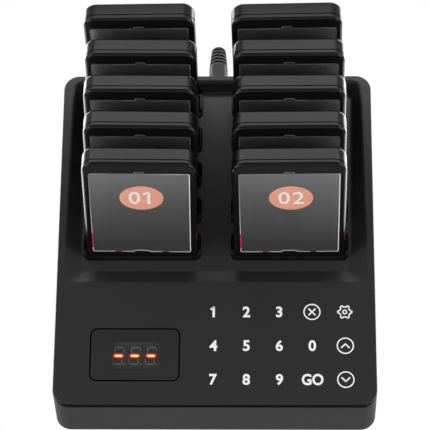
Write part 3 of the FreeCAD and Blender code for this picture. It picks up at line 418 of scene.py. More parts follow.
contact_finish = metal("contact_gold", (0.83, 0.6, 0.25), 0.22)
screw_finish = metal("screw_steel", (0.5, 0.5, 0.5), 0.3)
can_finish = metal("radio_can", (0.62, 0.62, 0.6), 0.35)
board_finish = laminate("board_laminate")
print("the boards' weave is", round(1 / WEAVES_PER_METRE / MM, 1), "mm wide")

# %% Give the solids their finishes
NUMBERS = range(1, 11)
FINISHES = {
    "base_housing": housing_finish, "top_cover": deck_finish,
    "socket_frame_left": socket_finish, "socket_frame_right": socket_finish,
    "charge_contacts": contact_finish, "touch_board": board_finish,
    "main_board": board_finish, "radio_module": can_finish,
    "feet": foot_finish, "housing_screws": screw_finish,
    "dc_jack": plug_finish, "dc_plug": plug_finish,
    "strain_relief": boot_finish, "wall_adapter": adapter_finish,
    "display_module": plug_finish,
}
PIECE_FINISHES = {
    "back_shell": shell_finish, "front_shell": shell_finish, "inside": board_finish,
}


def wear_finish(node, finish):
    materials = frame["nodes"][node].data.materials
    materials.clear()
    materials.append(finish)


for node, finish in FINISHES.items():
    wear_finish(node, finish)
for number in NUMBERS:
    for piece, finish in PIECE_FINISHES.items():
        wear_finish(f"pager_{number:02d}_{piece}", finish)
print(len(FINISHES) + len(PIECE_FINISHES) * len(NUMBERS), "solids have a finish")

# %% [markdown]
# ## Helpers for new pieces
#
# Flat printing is cut from thin sheets: a rounded bar, a ring, a text. Each starts lying in
# the XY plane round its own middle. A small matrix then puts it on the deck or in a pager,
# and the place is written into the mesh, so the finished object itself stays at the origin.

# %% Flat shapes
PRINT = 0.03 * MM             # thickness of a layer of ink


def flat_bar(bm, width, height, corner, segments=5):
    """A flat rectangle with rounded corners, and its face."""
    bmesh.ops.create_grid(bm, x_segments=1, y_segments=1, size=0.5)
    face = bm.faces[:][-1]
    corners = face.verts[:]
    bmesh.ops.scale(bm, vec=(width, height, 1), verts=corners)
    bmesh.ops.bevel(bm, geom=corners, offset=corner, offset_type="OFFSET", segments=segments,
                    profile=0.5, affect="VERTICES", material=-1)
    return bm.faces[:][-1]


def add_disc(bm, radius, segments):
    """A flat disc, as the vertices round it."""
    return bmesh.ops.create_circle(bm, cap_ends=True, segments=segments, radius=radius)["verts"]


def inset(bm, face, width):
    """Draws a face in, which leaves a band of this width round it."""
    face.normal_update()
    bmesh.ops.inset_region(bm, faces=[face], thickness=width, use_boundary=True,
                           use_even_offset=True)


def keep_band(bm, face, width):
    """Leaves only a band along the face's outline."""
    inset(bm, face, width)
    bmesh.ops.delete(bm, geom=[face], context="FACES")


def thicken(bm, height):
    """Gives flat faces a thickness, upwards, with a closed underside."""
    bmesh.ops.recalc_face_normals(bm, faces=bm.faces)
    for face in bm.faces:
        if face.normal.z < 0:
            face.normal_flip()
    top = bmesh.ops.extrude_face_region(bm, geom=bm.faces[:], use_keep_orig=True)
    raised = [item for item in top["geom"] if isinstance(item, bmesh.types.BMVert)]
    bmesh.ops.translate(bm, vec=(0, 0, height), verts=raised)
    bmesh.ops.recalc_face_normals(bm, faces=bm.faces)


print("ink is", PRINT / MM, "mm thick")

# %% Placing and joining pieces
def show(bm, name, body, finish, place):
    """Writes a place into a shape and shows it, on a body of the model."""
    bmesh.ops.transform(bm, matrix=place, verts=bm.verts)
    mesh = bpy.data.meshes.new(name)
    bm.to_mesh(mesh)
    bm.free()
    mesh.shade_flat()
    mesh.materials.append(finish)
    piece = add_object(name, mesh)
    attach(piece, body)


def merge(bm, part, place):
    """Adds a part, put in its place, to a larger shape."""
    bmesh.ops.transform(part, matrix=place, verts=part.verts)
    mesh = bpy.data.meshes.new("part")
    part.to_mesh(mesh)
    part.free()
    bm.from_mesh(mesh)
    bpy.data.meshes.remove(mesh)


def add_text(bm, words, height, weight, middle=(0, 0)):
    """Adds flat lettering round a point. The letters are a text made into a mesh."""
    curve = bpy.data.curves.new("lettering", "FONT")
    curve.body = words
    curve.align_x = "CENTER"
    curve.offset = weight
    curve.resolution_u = 6
    text = add_object("lettering", curve)
    mesh = bpy.data.meshes.new_from_object(text)
    bpy.data.objects.remove(text)
    lows = [min(vertex.co[axis] for vertex in mesh.vertices) for axis in (0, 1)]
    highs = [max(vertex.co[axis] for vertex in mesh.vertices) for axis in (0, 1)]
    scale = Matrix.Scale(height / (highs[1] - lows[1]), 4)
    centre = Vector(((lows[0] + highs[0]) / 2, (lows[1] + highs[1]) / 2, 0))
    mesh.transform(Matrix.Translation((*middle, 0)) @ scale @ Matrix.Translation(-centre))
    bm.from_mesh(mesh)
    bpy.data.meshes.remove(mesh)
    bmesh.ops.remove_doubles(bm, verts=bm.verts, dist=height * 1e-4)


print("pieces can be shown, merged and lettered")

# %% [markdown]
# ## The supply cord
#
# A thin lead bends down inside the soft end of the ribbed boot, hangs behind the base and
# lies on the table. What is left of its length is wound into a neat coil behind the right
# column, hidden from the camera, and its adapter lies beside it. The cord is one smooth
# spline, and the coil's turns are more points of the same spline, stacked three high.

# %% The cord's route
CORD_DIAMETER = 3.4 * MM
COIL_CENTRE = Vector((46.9, 145.2, 0)) * MM
COIL_TURN_RADIUS = 22.6 * MM
COIL_PITCH = 3.5 * MM
COIL_ARRIVING, COIL_LEAVING = math.radians(-135), math.radians(88)
LYING = 1.7 * MM              # height of the cord's middle when it lies on the table
POINTS_A_TURN = 16
# where each turn lies in the coil's section: steps outwards and steps up, in winding order
COIL_CELLS = [(1, 0), (0, 0), (-1, 0), (-1, 1), (-1, 2), (0, 2), (0, 1), (1, 1), (1, 2)]
FALL = [(0, 143.2, 54), (0, 152, 54), (0, 158.4, 42.8), (0.3, 159, 28.2), (1.5, 156.1, 14.9),
        (6.1, 149.3, 6.5), (13.9, 140.1, 2.1)]
RUN_OUT = [(26.8, 168.4, 1.7), (7.8, 154.8, 1.7), (-12.7, 148.3, 2.7), (-20.9, 145.2, 6)]


def coil_points():
    """The coil's turns, anticlockwise from where the lead arrives to where it leaves."""
    points = []
    turn = 2 * math.pi
    angle = COIL_ARRIVING
    last = COIL_LEAVING + turn * (len(COIL_CELLS) - 1)
    while angle < last:
        out, up = COIL_CELLS[int((angle - COIL_ARRIVING) / turn)]
        radius = COIL_TURN_RADIUS + out * COIL_PITCH
        height = LYING + up * COIL_PITCH
        offset = Vector((math.cos(angle) * radius, math.sin(angle) * radius, height))
        points.append(COIL_CENTRE + offset)
        angle += turn / POINTS_A_TURN
    return points


def in_metres(points):
    return [Vector(point) * MM for point in points]


print("the coil has", len(COIL_CELLS), "turns")

# %% The cord itself
def make_cord():
    curve = bpy.data.curves.new("supply_cord", "CURVE")
    curve.dimensions = "3D"
    curve.bevel_depth = CORD_DIAMETER / 2
    curve.bevel_resolution = 3
    curve.use_fill_caps = True
    route = in_metres(FALL) + coil_points() + in_metres(RUN_OUT)
    spline = curve.splines.new("NURBS")
    spline.points.add(len(route) - 1)
    for point, place in zip(spline.points, route):
        point.co = (*place, 1)
    spline.order_u = 3
    spline.use_endpoint_u = True
    spline.resolution_u = 4
    cord = add_object("supply_cord", curve)
    curve.materials.append(jacket_finish)
    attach(cord, "base")
    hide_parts("power_cord", "cord_coil")
    return cord, route


cord, route = make_cord()
print(len(route), "points on the cord's route")

# %% [markdown]
# ## The keypad
#
# The keypad has no buttons: white signs are printed on the deck over a touch board. Digits
# come from lettering, and the signs in circles are cut from rings and rounded bars. All of
# them are a hair's breadth thick and follow the deck's slope.

# %% White ink, and places on the deck
def make_ink_finish():
    paint = Paint("white_ink", (0.86, 0.86, 0.86), 0.5)
    speckle = paint.noise(0.4 * MM, detail=3)
    paint.feed("Base Color", paint.blend(speckle, (0.8, 0.8, 0.8), (0.92, 0.92, 0.92)))
    return paint.material


def on_deck(x, along, lift=0.0):
    """The matrix of a place on the deck: across, along the slope and square up from it."""
    tilt = Matrix.Rotation(DECK_SLOPE, 4, "X")
    step = Matrix.Translation((x * MM, along * MM, lift * MM))
    return Matrix.Translation(DECK_FRONT) @ tilt @ step


ink_finish = make_ink_finish()
print("the deck slopes by", round(math.degrees(DECK_SLOPE), 1), "degrees")

# %% Strokes, rings, digits and a cog
SIGN_STROKE = 0.8 * MM
COG_TEETH, COG_POINTS = 6, 72
COG_DEPTH = 0.115             # how far the teeth wave out and in, as a share of the radius
COG_SQUARENESS = 2.2
# the built-in 1 is a bare bar, so it gets a short flag: where the flag starts and ends, across
# from the digit's middle and up from its top, and its width, all in millimetres
KEY_FLAG = (-0.1, -0.65), (-1.55, -1.75), 1.25


def add_stroke(bm, start, end, width):
    """A rounded bar from one point to another."""
    start, end = Vector((*start, 0)), Vector((*end, 0))
    run = end - start
    part = bmesh.new()
    flat_bar(part, run.length + width, width, width * 0.49, segments=4)
    turn = Matrix.Rotation(math.atan2(run.y, run.x), 4, "Z")
    merge(bm, part, Matrix.Translation((start + end) / 2) @ turn)


def add_ring(bm, radius, stroke, segments=48):
    ring = add_disc(bm, radius, segments)
    keep_band(bm, ring[0].link_faces[0], stroke)


def add_cog(bm, radius, stroke):
    """The outline of a wheel with rounded teeth."""
    ring = add_disc(bm, radius, COG_POINTS)
    for vertex in ring:
        wave = math.cos(COG_TEETH * math.atan2(vertex.co.y, vertex.co.x))
        square = math.tanh(COG_SQUARENESS * wave) / math.tanh(COG_SQUARENESS)
        vertex.co *= 1 - COG_DEPTH + COG_DEPTH * square
    keep_band(bm, ring[0].link_faces[0], stroke)


def add_digit(bm, digit, height, weight, flag, x=0.0):
    """A digit round a point across from the middle."""
    add_text(bm, digit, height, weight, middle=(x, 0))
    if digit == "1":
        *ends, width = flag
        start, end = [(x + across * MM, height / 2 + up * MM) for across, up in ends]
        add_stroke(bm, start, end, width * MM)


print("the rings' strokes are", SIGN_STROKE / MM, "mm wide")

# %% What each sign looks like
RING_RADIUS = 5.4 * MM
INNER_STROKE = 0.9 * MM       # of the signs inside a ring
CROSS_REACH = 1.95 * MM
ARROW_HALF, ARROW_RISE = 2.4 * MM, 1.2 * MM
COG_RADIUS, HUB_RADIUS = 4.8 * MM, 1.6 * MM
DIGIT_HEIGHT, DIGIT_WEIGHT = 7.2 * MM, 0.03
GO_HEIGHT, GO_NARROWING = 7.4 * MM, 0.9


def draw_cancel(bm):
    add_ring(bm, RING_RADIUS, SIGN_STROKE)
    for reach in (CROSS_REACH, -CROSS_REACH):
        add_stroke(bm, (-CROSS_REACH, -reach), (CROSS_REACH, reach), INNER_STROKE)


def draw_settings(bm):
    add_cog(bm, COG_RADIUS, SIGN_STROKE)
    add_ring(bm, HUB_RADIUS, SIGN_STROKE, segments=32)


def draw_arrow(bm, direction):
    add_ring(bm, RING_RADIUS, SIGN_STROKE)
    tip = direction * ARROW_RISE
    for side in (-1, 1):
        add_stroke(bm, (side * ARROW_HALF, -tip), (0, tip), INNER_STROKE)


def draw_go(bm):
    add_text(bm, "GO", GO_HEIGHT, DIGIT_WEIGHT)
    bmesh.ops.scale(bm, vec=(GO_NARROWING, 1, 1), verts=bm.verts)


DRAWINGS = {
    "cancel": draw_cancel, "settings": draw_settings, "go": draw_go,
    "up": lambda bm: draw_arrow(bm, 1), "down": lambda bm: draw_arrow(bm, -1),
}
print(len(DRAWINGS), "signs besides the digits")

# %% Print the keypad
KEY_PITCH = 20.53
KEY_LEFT = -1.0
# how far up the deck's slope each row lies, in millimetres, and its signs from the left
KEY_ROWS ={60.8: "1 2 3 cancel settings", 38.5: "4 5 6 0 up", 16.4: "7 8 9 go down"}
for along, names in KEY_ROWS.items():
    for column, name in enumerate(names.split()):
        bm = bmesh.new()
        if name in DRAWINGS:
            DRAWINGS[name](bm)
        else:
            add_digit(bm, name, DIGIT_HEIGHT, DIGIT_WEIGHT, KEY_FLAG)
        thicken(bm, PRINT)
        place = on_deck(KEY_LEFT + KEY_PITCH * column, along)
        show(bm, f"key_{name}", "base", ink_finish, place)
print(len(KEY_ROWS), "rows of signs printed on the deck")

# %% [markdown]
# ## The display
#
# Three seven-segment digits sit under a smoked window. The window is painted black from
# behind except over the digits, so its see-through part is set by a soft mask. Each digit is
# seven six-sided bars that lean a little. Only the middle bars are lit: hot yellow in the
# middle and red towards their rims, as bright red segments look through smoked plastic.

# %% The display's plastics
WINDOW_X, WINDOW_ALONG = -50.0, 32.3
WINDOW_WALL = 1.6
CLEAR_SHIFT_X, CLEAR_SHIFT_ALONG = 0.9, -0.3    # of the clear part, from the window's middle
FACE_MIDDLE = (0.07, 0.07, 0.071)
# painted light: the face's rim colour is paler to make up for the shade of the window's print
FACE_RIM_PAINTED_LIGHT = (0.13, 0.13, 0.132)
FACE_RIM_ACROSS = (12.6 * MM, 15.2 * MM)
FACE_RIM_ALONG = (6.6 * MM, 9.0 * MM)
UNLIT_GREY = (0.3, 0.3, 0.305)


def off_window(paint):
    """How far a point lies from the middle of the window's clear part, across and along."""
    middle = on_deck(WINDOW_X + CLEAR_SHIFT_X, WINDOW_ALONG + CLEAR_SHIFT_ALONG).translation
    return [abs(paint.axis("X") - middle.x), abs(paint.axis("Y") - middle.y)]


def cloudy(paint, colour):
    return paint.mottle(paint.noise(2 * MM, detail=3), colour, 0.9, 1.1)


def make_unlit_finish():
    paint = Paint("unlit_segment", UNLIT_GREY, 0.5)
    paint.feed("Base Color", cloudy(paint, UNLIT_GREY))
    return paint.material


def make_face_finish():
    """Black plastic, painted paler at its rim to make up for the shade that the window's print
    casts there.
    """
    paint = Paint("display_face", FACE_MIDDLE, 0.5)
    across, along = off_window(paint)
    rim = across.ease(*FACE_RIM_ACROSS).or_more(along.ease(*FACE_RIM_ALONG))
    paint.feed("Base Color", paint.blend(rim, cloudy(paint, FACE_MIDDLE), cloudy(paint, FACE_RIM_PAINTED_LIGHT)))
    return paint.material


unlit_finish = make_unlit_finish()
face_finish = make_face_finish()
print("the window is", WINDOW_WALL, "mm thick")

# %% The unlit digits and the face behind them
DIGIT_PITCH = 10.15 * MM
DIGIT_MIDDLES = [step * DIGIT_PITCH for step in (-1, 0, 1)]
DIGIT_SLANT = 0.12
SEGMENT_LENGTH, SEGMENT_WIDTH = 5.0 * MM, 1.05 * MM
COLUMN_GAP, ROW_GAP = 0.25 * MM, 0.55 * MM    # between the bars that meet at a corner
DOT_RADIUS, DOT_GAP = 0.6 * MM, 1.4 * MM
FACE_SIZE = (36 * MM, 22 * MM)
FACE_CORNER = 0.6 * MM
SEGMENTS_BEHIND, FACE_BEHIND, LIT_BEHIND = 0.1, 0.16, 0.04    # behind the window's underside


def under_window(behind):
    return on_deck(WINDOW_X, WINDOW_ALONG, -WINDOW_WALL - behind)


def add_segment(bm, x, y, angle=0.0):
    part = bmesh.new()
    flat_bar(part, SEGMENT_LENGTH, SEGMENT_WIDTH, SEGMENT_WIDTH * 0.49, segments=1)
    merge(bm, part, Matrix.Translation((x, y, 0)) @ Matrix.Rotation(angle, 4, "Z"))


def make_unlit_segments():
    bm = bmesh.new()
    half, reach = SEGMENT_LENGTH / 2 + COLUMN_GAP, SEGMENT_LENGTH + ROW_GAP
    for middle in DIGIT_MIDDLES:
        for side in (-1, 1):
            add_segment(bm, middle, side * reach)
            for level in (-1, 1):
                add_segment(bm, middle + side * half, level * reach / 2, math.pi / 2)
        dot = add_disc(bm, DOT_RADIUS, 16)
        bmesh.ops.translate(bm, vec=(middle + half + DOT_GAP, -reach, 0), verts=dot)
    for vertex in bm.verts:
        vertex.co.x += DIGIT_SLANT * vertex.co.y
    thicken(bm, PRINT)
    place = under_window(SEGMENTS_BEHIND)
    show(bm, "digit_segments", "base", unlit_finish, place)


def make_display_face():
    bm = bmesh.new()
    flat_bar(bm, *FACE_SIZE, FACE_CORNER)
    thicken(bm, PRINT)
    place = under_window(FACE_BEHIND)
    show(bm, "digit_face", "base", face_finish, place)


make_unlit_segments()
make_display_face()
print(len(DIGIT_MIDDLES), "digits,", DIGIT_PITCH / MM, "mm apart")

# %% The lit bars
BAR_HALF = 1.8 * MM
BAR_LENGTH = SEGMENT_LENGTH + 2.4 * MM
LIT_RINGS = (0.55 * MM, 0.5 * MM, 0.4 * MM)
EMBER = (0.02, 0.0, 0.0)
GLOW_RED = (2.2, 0.02, 0.03)
GLOW_YELLOW = (3.2, 2.4, 0.8)


def make_lit_finish():
    paint = Paint("lit_segment", EMBER, 0.4, Emission_Strength=1.0)
    warmth = paint.attribute("warmth")
    rim_glow = paint.blend(warmth.ease(0.0, 0.45), EMBER, GLOW_RED)
    paint.feed("Emission Color", paint.blend(warmth.ease(0.76, 1.0), rim_glow, GLOW_YELLOW))
    return paint.material


def make_lit_bar(name, middle):
    """A bar in nested outlines, whose warmth rises from its rim to its middle."""
    bm = bmesh.new()
    core = flat_bar(bm, BAR_LENGTH, 2 * BAR_HALF, 0.97 * BAR_HALF, segments=6)
    for ring in LIT_RINGS:
        inset(bm, core, ring)
    warmth_layer = bm.verts.layers.float.new("warmth")
    thicken(bm, PRINT)
    for vertex in bm.verts:
        beyond = max(abs(vertex.co.x) - BAR_LENGTH / 2 + BAR_HALF, 0)
        inside = BAR_HALF - math.hypot(beyond, vertex.co.y)
        vertex[warmth_layer] = inside / sum(LIT_RINGS)
    place = under_window(LIT_BEHIND) @ Matrix.Translation((middle, 0, 0))
    show(bm, name, "base", lit_finish, place)


lit_finish = make_lit_finish()
for count, middle in enumerate(DIGIT_MIDDLES):
    make_lit_bar(f"lit_segment_{count + 1}", middle)
print(len(DIGIT_MIDDLES), "bars are lit")

# %% The smoked window
WINDOW_TINT = (0.0065, 0.0065, 0.0065)
CLEAR_HALVES = (14.9 * MM, 8.9 * MM)    # of the clear part, across and along
CLEAR_SOFTNESS = 0.9 * MM
CLEARNESS = 0.52
FRONT_DEPTH = (0.3 * MM, 0.8 * MM)


def make_window_finish():
    """Smoked and half clear over the digits. Only its front counts, or the mask shows twice."""
    paint = Paint("smoked_window", WINDOW_TINT, 0.3, Specular_IOR_Level=0.4)
    clear = 1.0
    for away, half in zip(off_window(paint), CLEAR_HALVES):
        clear = (1 - away.ease(half - CLEAR_SOFTNESS, half + CLEAR_SOFTNESS)) * clear
    front = 1 - drop_below_deck(paint).ease(*FRONT_DEPTH)
    paint.feed("Alpha", front * (1 - CLEARNESS * clear))
    paint.feed("Roughness", 0.3 + 0.05 * paint.noise(10 * MM))
    paint.bump(paint.noise(0.3 * MM), 0.01 * MM)
    return paint.material


wear_finish("display_window", make_window_finish())
print("the window lets", CLEARNESS, "of the light through over the digits")

# %% The painted shade round the window
WINDOW_SIZE = (55.0 * MM, 33.4 * MM)
WINDOW_CORNER = 3.8 * MM
GAP_SHADE_WIDTH = 0.9 * MM
GAP_SHADE_SPREAD = 0.8 * GAP_SHADE_WIDTH    # how far it reaches past the window's edge
GAP_SHADE_SHIFT_X, GAP_SHADE_SHIFT_ALONG = 0.1, 0.2


def make_window_gap_shade():
    """A black band over the gap between the window and the deck: painted shade, as hardly any light
    gets into the gap.
    """
    paint = Paint("gap_shadow_black", (0.002, 0.002, 0.002), 0.7, Metallic=1.0)
    paint.feed("Roughness", 0.6 + 0.3 * paint.noise(2 * MM))
    bm = bmesh.new()
    width, height = [side + 2 * GAP_SHADE_SPREAD for side in WINDOW_SIZE]
    face = flat_bar(bm, width, height, WINDOW_CORNER + GAP_SHADE_SPREAD)
    keep_band(bm, face, GAP_SHADE_WIDTH)
    thicken(bm, PRINT)
    place = on_deck(WINDOW_X + GAP_SHADE_SHIFT_X, WINDOW_ALONG + GAP_SHADE_SHIFT_ALONG)
    show(bm, "window_gap_shadow", "base", paint.material, place)


# painted shade: a black band over the gap round the window
make_window_gap_shade()
print("the bead is", GAP_SHADE_WIDTH / MM, "mm wide")

# %% [markdown]
# ## Cards, covers and lights of the pagers
#
# Behind each clear cover lies a silvery card with a salmon sticker that carries the pager's
# number. Each pager leans a little in its socket, so its own directions come from the packed
# model: the joint gives the way it slides, and the cover's corners give where its face is.

# %% Each pager's own directions
BESIDE_TAB = 10 * MM          # the cover's tab and notch are nearer to its middle than this
# the front row: its rims get the full painted highlight and its small lights glow fully; the other
# pagers' rims get a dimmer painted highlight and their lights glow less
LIT_PAGERS = (1, 2)           # the others are charged and rest
joint_axes = {joint["child"]: Vector(joint["axis"]) for joint in frame["joints"]}


class Pager:
    """A pager's number, its body and the place of its cover's front face."""

    def __init__(self, number):
        self.number = number
        self.lit = number in LIT_PAGERS
        self.body = f"pager_{number:02d}"
        up = joint_axes[self.body].normalized()
        back = Vector((0, up.z, -up.y)).normalized()
        across = back.cross(up)
        turn = Matrix((across, back, up)).transposed()
        lens = frame["nodes"][f"{self.body}_lens"].data
        points = [turn.transposed() @ vertex.co for vertex in lens.vertices]
        middle = sum((point.x for point in points)) / len(points)
        points = [point for point in points if abs(point.x - middle) > BESIDE_TAB]
        low = Vector([min(point[axis] for point in points) for axis in range(3)])
        high = Vector([max(point[axis] for point in points) for axis in range(3)])
        self.width, self.height = high.x - low.x, high.z - low.z
        foot = turn @ Vector(((low.x + high.x) / 2, low.y, low.z))
        # X across the face, Y up the face and Z out of it, from the middle of its lower edge
        face = Matrix((across, up, -back)).transposed().to_4x4()
        self.face = Matrix.Translation(foot) @ face

    def on_face(self, x, up, out):
        """The matrix of a place on the face: across, up from the cover's lower edge, and out."""
        return self.face @ Matrix.Translation((x * MM, up * MM, out * MM))


pagers = [Pager(number) for number in NUMBERS]
size = [round(side / MM, 1) for side in (pagers[0].width, pagers[0].height)]
print("a cover measures", size, "mm")

# %% Finishes of the cards and covers
CARD_SILVER = (0.37, 0.37, 0.375)


def make_card_finish():
    """Brushed silver foil, painted a little lighter towards the top as painted light."""
    paint = Paint("number_card", CARD_SILVER, 0.32, Metallic=0.92)
    brushed = paint.noise(1.2 * MM, detail=4)
    # painted light: the card's colour grows lighter with its height, a painted highlight towards
    # the top
    tone = paint.mottle(paint.attribute("height"), CARD_SILVER, 0.85, 1.1)
    paint.feed("Base Color", paint.blend(brushed, scaled(CARD_SILVER, 0.9), tone))
    paint.feed("Roughness", 0.28 + 0.08 * brushed)
    return paint.material


def printed(name, colour):
    paint = Paint(name, colour, 0.5)
    fibre = paint.noise(0.8 * MM, detail=4)
    paint.feed("Base Color", paint.mottle(fibre, colour, 0.92, 1.05))
    return paint.material


def make_acrylic_finish():
    """Clear, and glossy but for a faint smear of fingers."""
    paint = Paint("clear_acrylic", (0.01, 0.01, 0.01), 0.05, Alpha=0.12)
    paint.feed("Roughness", 0.03 + 0.05 * paint.noise(6 * MM, detail=4))
    return paint.material


card_finish = make_card_finish()
sticker_finish = printed("salmon_sticker", (0.87, 0.38, 0.27))
number_finish = printed("number_white", (0.9, 0.88, 0.87))
acrylic_finish = make_acrylic_finish()
for pager in pagers:
    wear_finish(f"{pager.body}_lens", acrylic_finish)
print(len(pagers), "clear covers")

# %% Cards and stickers
# places are in millimetres: out is from the cover's front, so the card lies behind it
CARD_OUT, STICKER_OUT, NUMBER_OUT = -0.35, -0.3, -0.25
CARD_MARGIN = 0.4 * MM
CARD_CORNER = 2 * MM
STICKER_X, STICKER_UP = 1.0, 51.1
STICKER_RADII = (13.6 * MM, 10.8 * MM)
NUMBER_X, NUMBER_UP = 1.15, 51.2
NUMBER_HEIGHT, NUMBER_WEIGHT = 11.2 * MM, 0.012
NUMBER_STEP = 8.9 * MM        # from one digit's middle to the next
STICKER_FLAG = (0.1, -0.8), (-2.9, -1.8), 1.55


def show_inside(pager, bm, name, finish, place):
    """Shows a shape under the pager's cover."""
    show(bm, f"{pager.body}_{name}", pager.body, finish, place)


def make_card(pager):
    bm = bmesh.new()
    flat_bar(bm, pager.width - CARD_MARGIN, pager.height - CARD_MARGIN, CARD_CORNER)
    bmesh.ops.translate(bm, vec=(0, pager.height / 2, 0), verts=bm.verts)
    height_layer = bm.verts.layers.float.new("height")
    thicken(bm, PRINT)
    for vertex in bm.verts:
        vertex[height_layer] = vertex.co.y / pager.height
    show_inside(pager, bm, "card", card_finish, pager.on_face(0, 0, CARD_OUT))


def make_sticker(pager):
    bm = bmesh.new()
    add_disc(bm, 1, 64)
    bmesh.ops.scale(bm, vec=(*STICKER_RADII, 1), verts=bm.verts)
    thicken(bm, PRINT)
    place = pager.on_face(STICKER_X, STICKER_UP, STICKER_OUT)
    show_inside(pager, bm, "sticker", sticker_finish, place)


def make_number(pager):
    bm = bmesh.new()
    for side, digit in zip((-1, 1), f"{pager.number:02d}"):
        x = side * NUMBER_STEP / 2
        add_digit(bm, digit, NUMBER_HEIGHT, NUMBER_WEIGHT, STICKER_FLAG, x)
    thicken(bm, PRINT)
    place = pager.on_face(NUMBER_X, NUMBER_UP, NUMBER_OUT)
    show_inside(pager, bm, "number", number_finish, place)


for pager in pagers:
    make_card(pager)
    make_sticker(pager)
    make_number(pager)
print(len(pagers), "cards with a numbered sticker")

# %% [markdown]
# ## The covers' bright edges and the lights
#
# A clear sheet carries light inside it and lets it out at its edges, so the edges look
# brighter than the sheet. Here that brightness is a painted highlight in the colour of a thin
# polished rim round each cover: whitest on the right, less below and dim elsewhere. Four small
# lights in each pager shine into the cover's edge and out through the groove in the case's
# sides. Their red shows on the rim as coloured stretches. The two pagers in front are lit;
# the others' lights glow less, and their rims get only a dimmer painted highlight.

# %% The rim of each cover
RIM_DARK, RIM_PAINTED_HIGHLIGHT = (0.02, 0.02, 0.021), (0.95, 0.95, 0.96)
RIM_WIDTH = 0.45 * MM
BRIGHT_EDGE = 0.05 * MM       # how much wider the rim is on the bright side
RIM_OUT = 0.01
SHINE_RIGHT, SHINE_BELOW, SHINE_ELSEWHERE, SHINE_IN_SHADE = 0.8, 0.6, 0.14, 0.1
COVER_CORNER = 1.0 * MM
TAB_HALF, TAB_HEIGHT = 3.1 * MM, 1.5 * MM
NOTCH_HALF, NOTCH_SLANT, NOTCH_DEPTH = 4.85 * MM, 0.6 * MM, 1.2 * MM


def make_rim_finish():
    # painted highlight: the rim's colour runs from dark to white with its shine
    paint = Paint("cover_rim", (0.55, 0.56, 0.57), 0.2)
    flow = paint.attribute("shine") + 0.3 * paint.noise(8 * MM) - 0.15
    paint.feed("Base Color", paint.blend(flow, RIM_DARK, RIM_PAINTED_HIGHLIGHT))
    return paint.material


def cover_outline(width, height):
    """The cover's outline, anticlockwise from its lower left corner, with notch and tab."""
    half, corner = width / 2, COVER_CORNER
    points = []

    def add_corner(x, y, start):
        for step in range(4):
            angle = start + step * math.pi / 6
            points.append((x + corner * math.cos(angle), y + corner * math.sin(angle)))

    add_corner(corner - half, corner, math.pi)
    points.extend([(-NOTCH_HALF, 0), (NOTCH_SLANT - NOTCH_HALF, NOTCH_DEPTH),
                   (NOTCH_HALF - NOTCH_SLANT, NOTCH_DEPTH), (NOTCH_HALF, 0)])
    add_corner(half - corner, corner, -math.pi / 2)
    add_corner(half - corner, height - corner, 0)
    points.extend([(TAB_HALF, height), (TAB_HALF, height + TAB_HEIGHT),
                   (-TAB_HALF, height + TAB_HEIGHT), (-TAB_HALF, height)])
    add_corner(corner - half, height - corner, math.pi / 2)
    return points


def edge_shine(point, pager):
    """How bright the painted highlight on the cover's edge is: most on the right, then below, and
    dim elsewhere, and dim all round on the pagers behind the front row.
    """
    if not pager.lit:
        return SHINE_IN_SHADE
    if point.x > pager.width / 2 - COVER_CORNER:
        return SHINE_RIGHT
    if point.y < 2 * COVER_CORNER:
        return SHINE_BELOW
    return SHINE_ELSEWHERE


def make_rim(pager):
    bm = bmesh.new()
    outline = [bm.verts.new((x, y, 0)) for x, y in cover_outline(pager.width, pager.height)]
    face = bm.faces.new(outline)
    inset(bm, face, RIM_WIDTH)
    bright_side = pager.width / 2 - COVER_CORNER
    bright = [vertex for vertex in face.verts if vertex.co.x > bright_side]
    bmesh.ops.translate(bm, vec=(-BRIGHT_EDGE, 0, 0), verts=bright)
    bmesh.ops.delete(bm, geom=[face], context="FACES")
    shine_layer = bm.verts.layers.float.new("shine")
    thicken(bm, PRINT)
    for vertex in bm.verts:
        vertex[shine_layer] = edge_shine(vertex.co, pager)
    place = pager.on_face(0, 0, RIM_OUT)
    show(bm, f"{pager.body}_cover_rim", pager.body, rim_finish, place)


rim_finish = make_rim_finish()
for pager in pagers:
    make_rim(pager)
print("the rims are", RIM_WIDTH / MM, "mm wide")

# %% The small lights
# each light: name, middle across and up the face, out of it, width, height, colour
LIGHTS = [
    ("light_low_left", -15, 0.45, 0.06, 4.2, 0.9, (0.13, 0.01, 0.03)),
    ("light_low_right", 15, 0.45, 0.06, 4.2, 0.9, (0.04, 0.02, 0.07)),
    ("light_side_left", -30.7, 11, 0.06, 0.65, 14, (0.46, 0.02, 0.045)),
    ("light_side_right", 34.6, 14.5, -0.9, 0.8, 9, (0.09, 0.004, 0.006)),
]
RESTING_GLOW = 0.12           # of a resting pager's lights, as a share of a lit one's


def make_light_finish(name, colour):
    paint = Paint(name, scaled(colour, 0.1), 0.4, Emission_Strength=1.0)
    spark = paint.noise(2.5 * MM, detail=3)
    paint.feed("Emission Color", paint.mottle(spark, colour, 0.5, 1.5))
    return paint.material


for name, x, up, out, width, height, colour in LIGHTS:
    glowing = make_light_finish(name, colour)
    resting = make_light_finish(f"{name}_resting", scaled(colour, RESTING_GLOW))
    for pager in pagers:
        bm = bmesh.new()
        flat_bar(bm, width * MM, height * MM, min(width, height) * 0.45 * MM, segments=3)
        thicken(bm, PRINT)
        finish = glowing if pager.lit else resting
        place = pager.on_face(x, up, out)
        show(bm, f"{pager.body}_{name}", pager.body, finish, place)
print(len(LIGHTS), "lights in each pager")

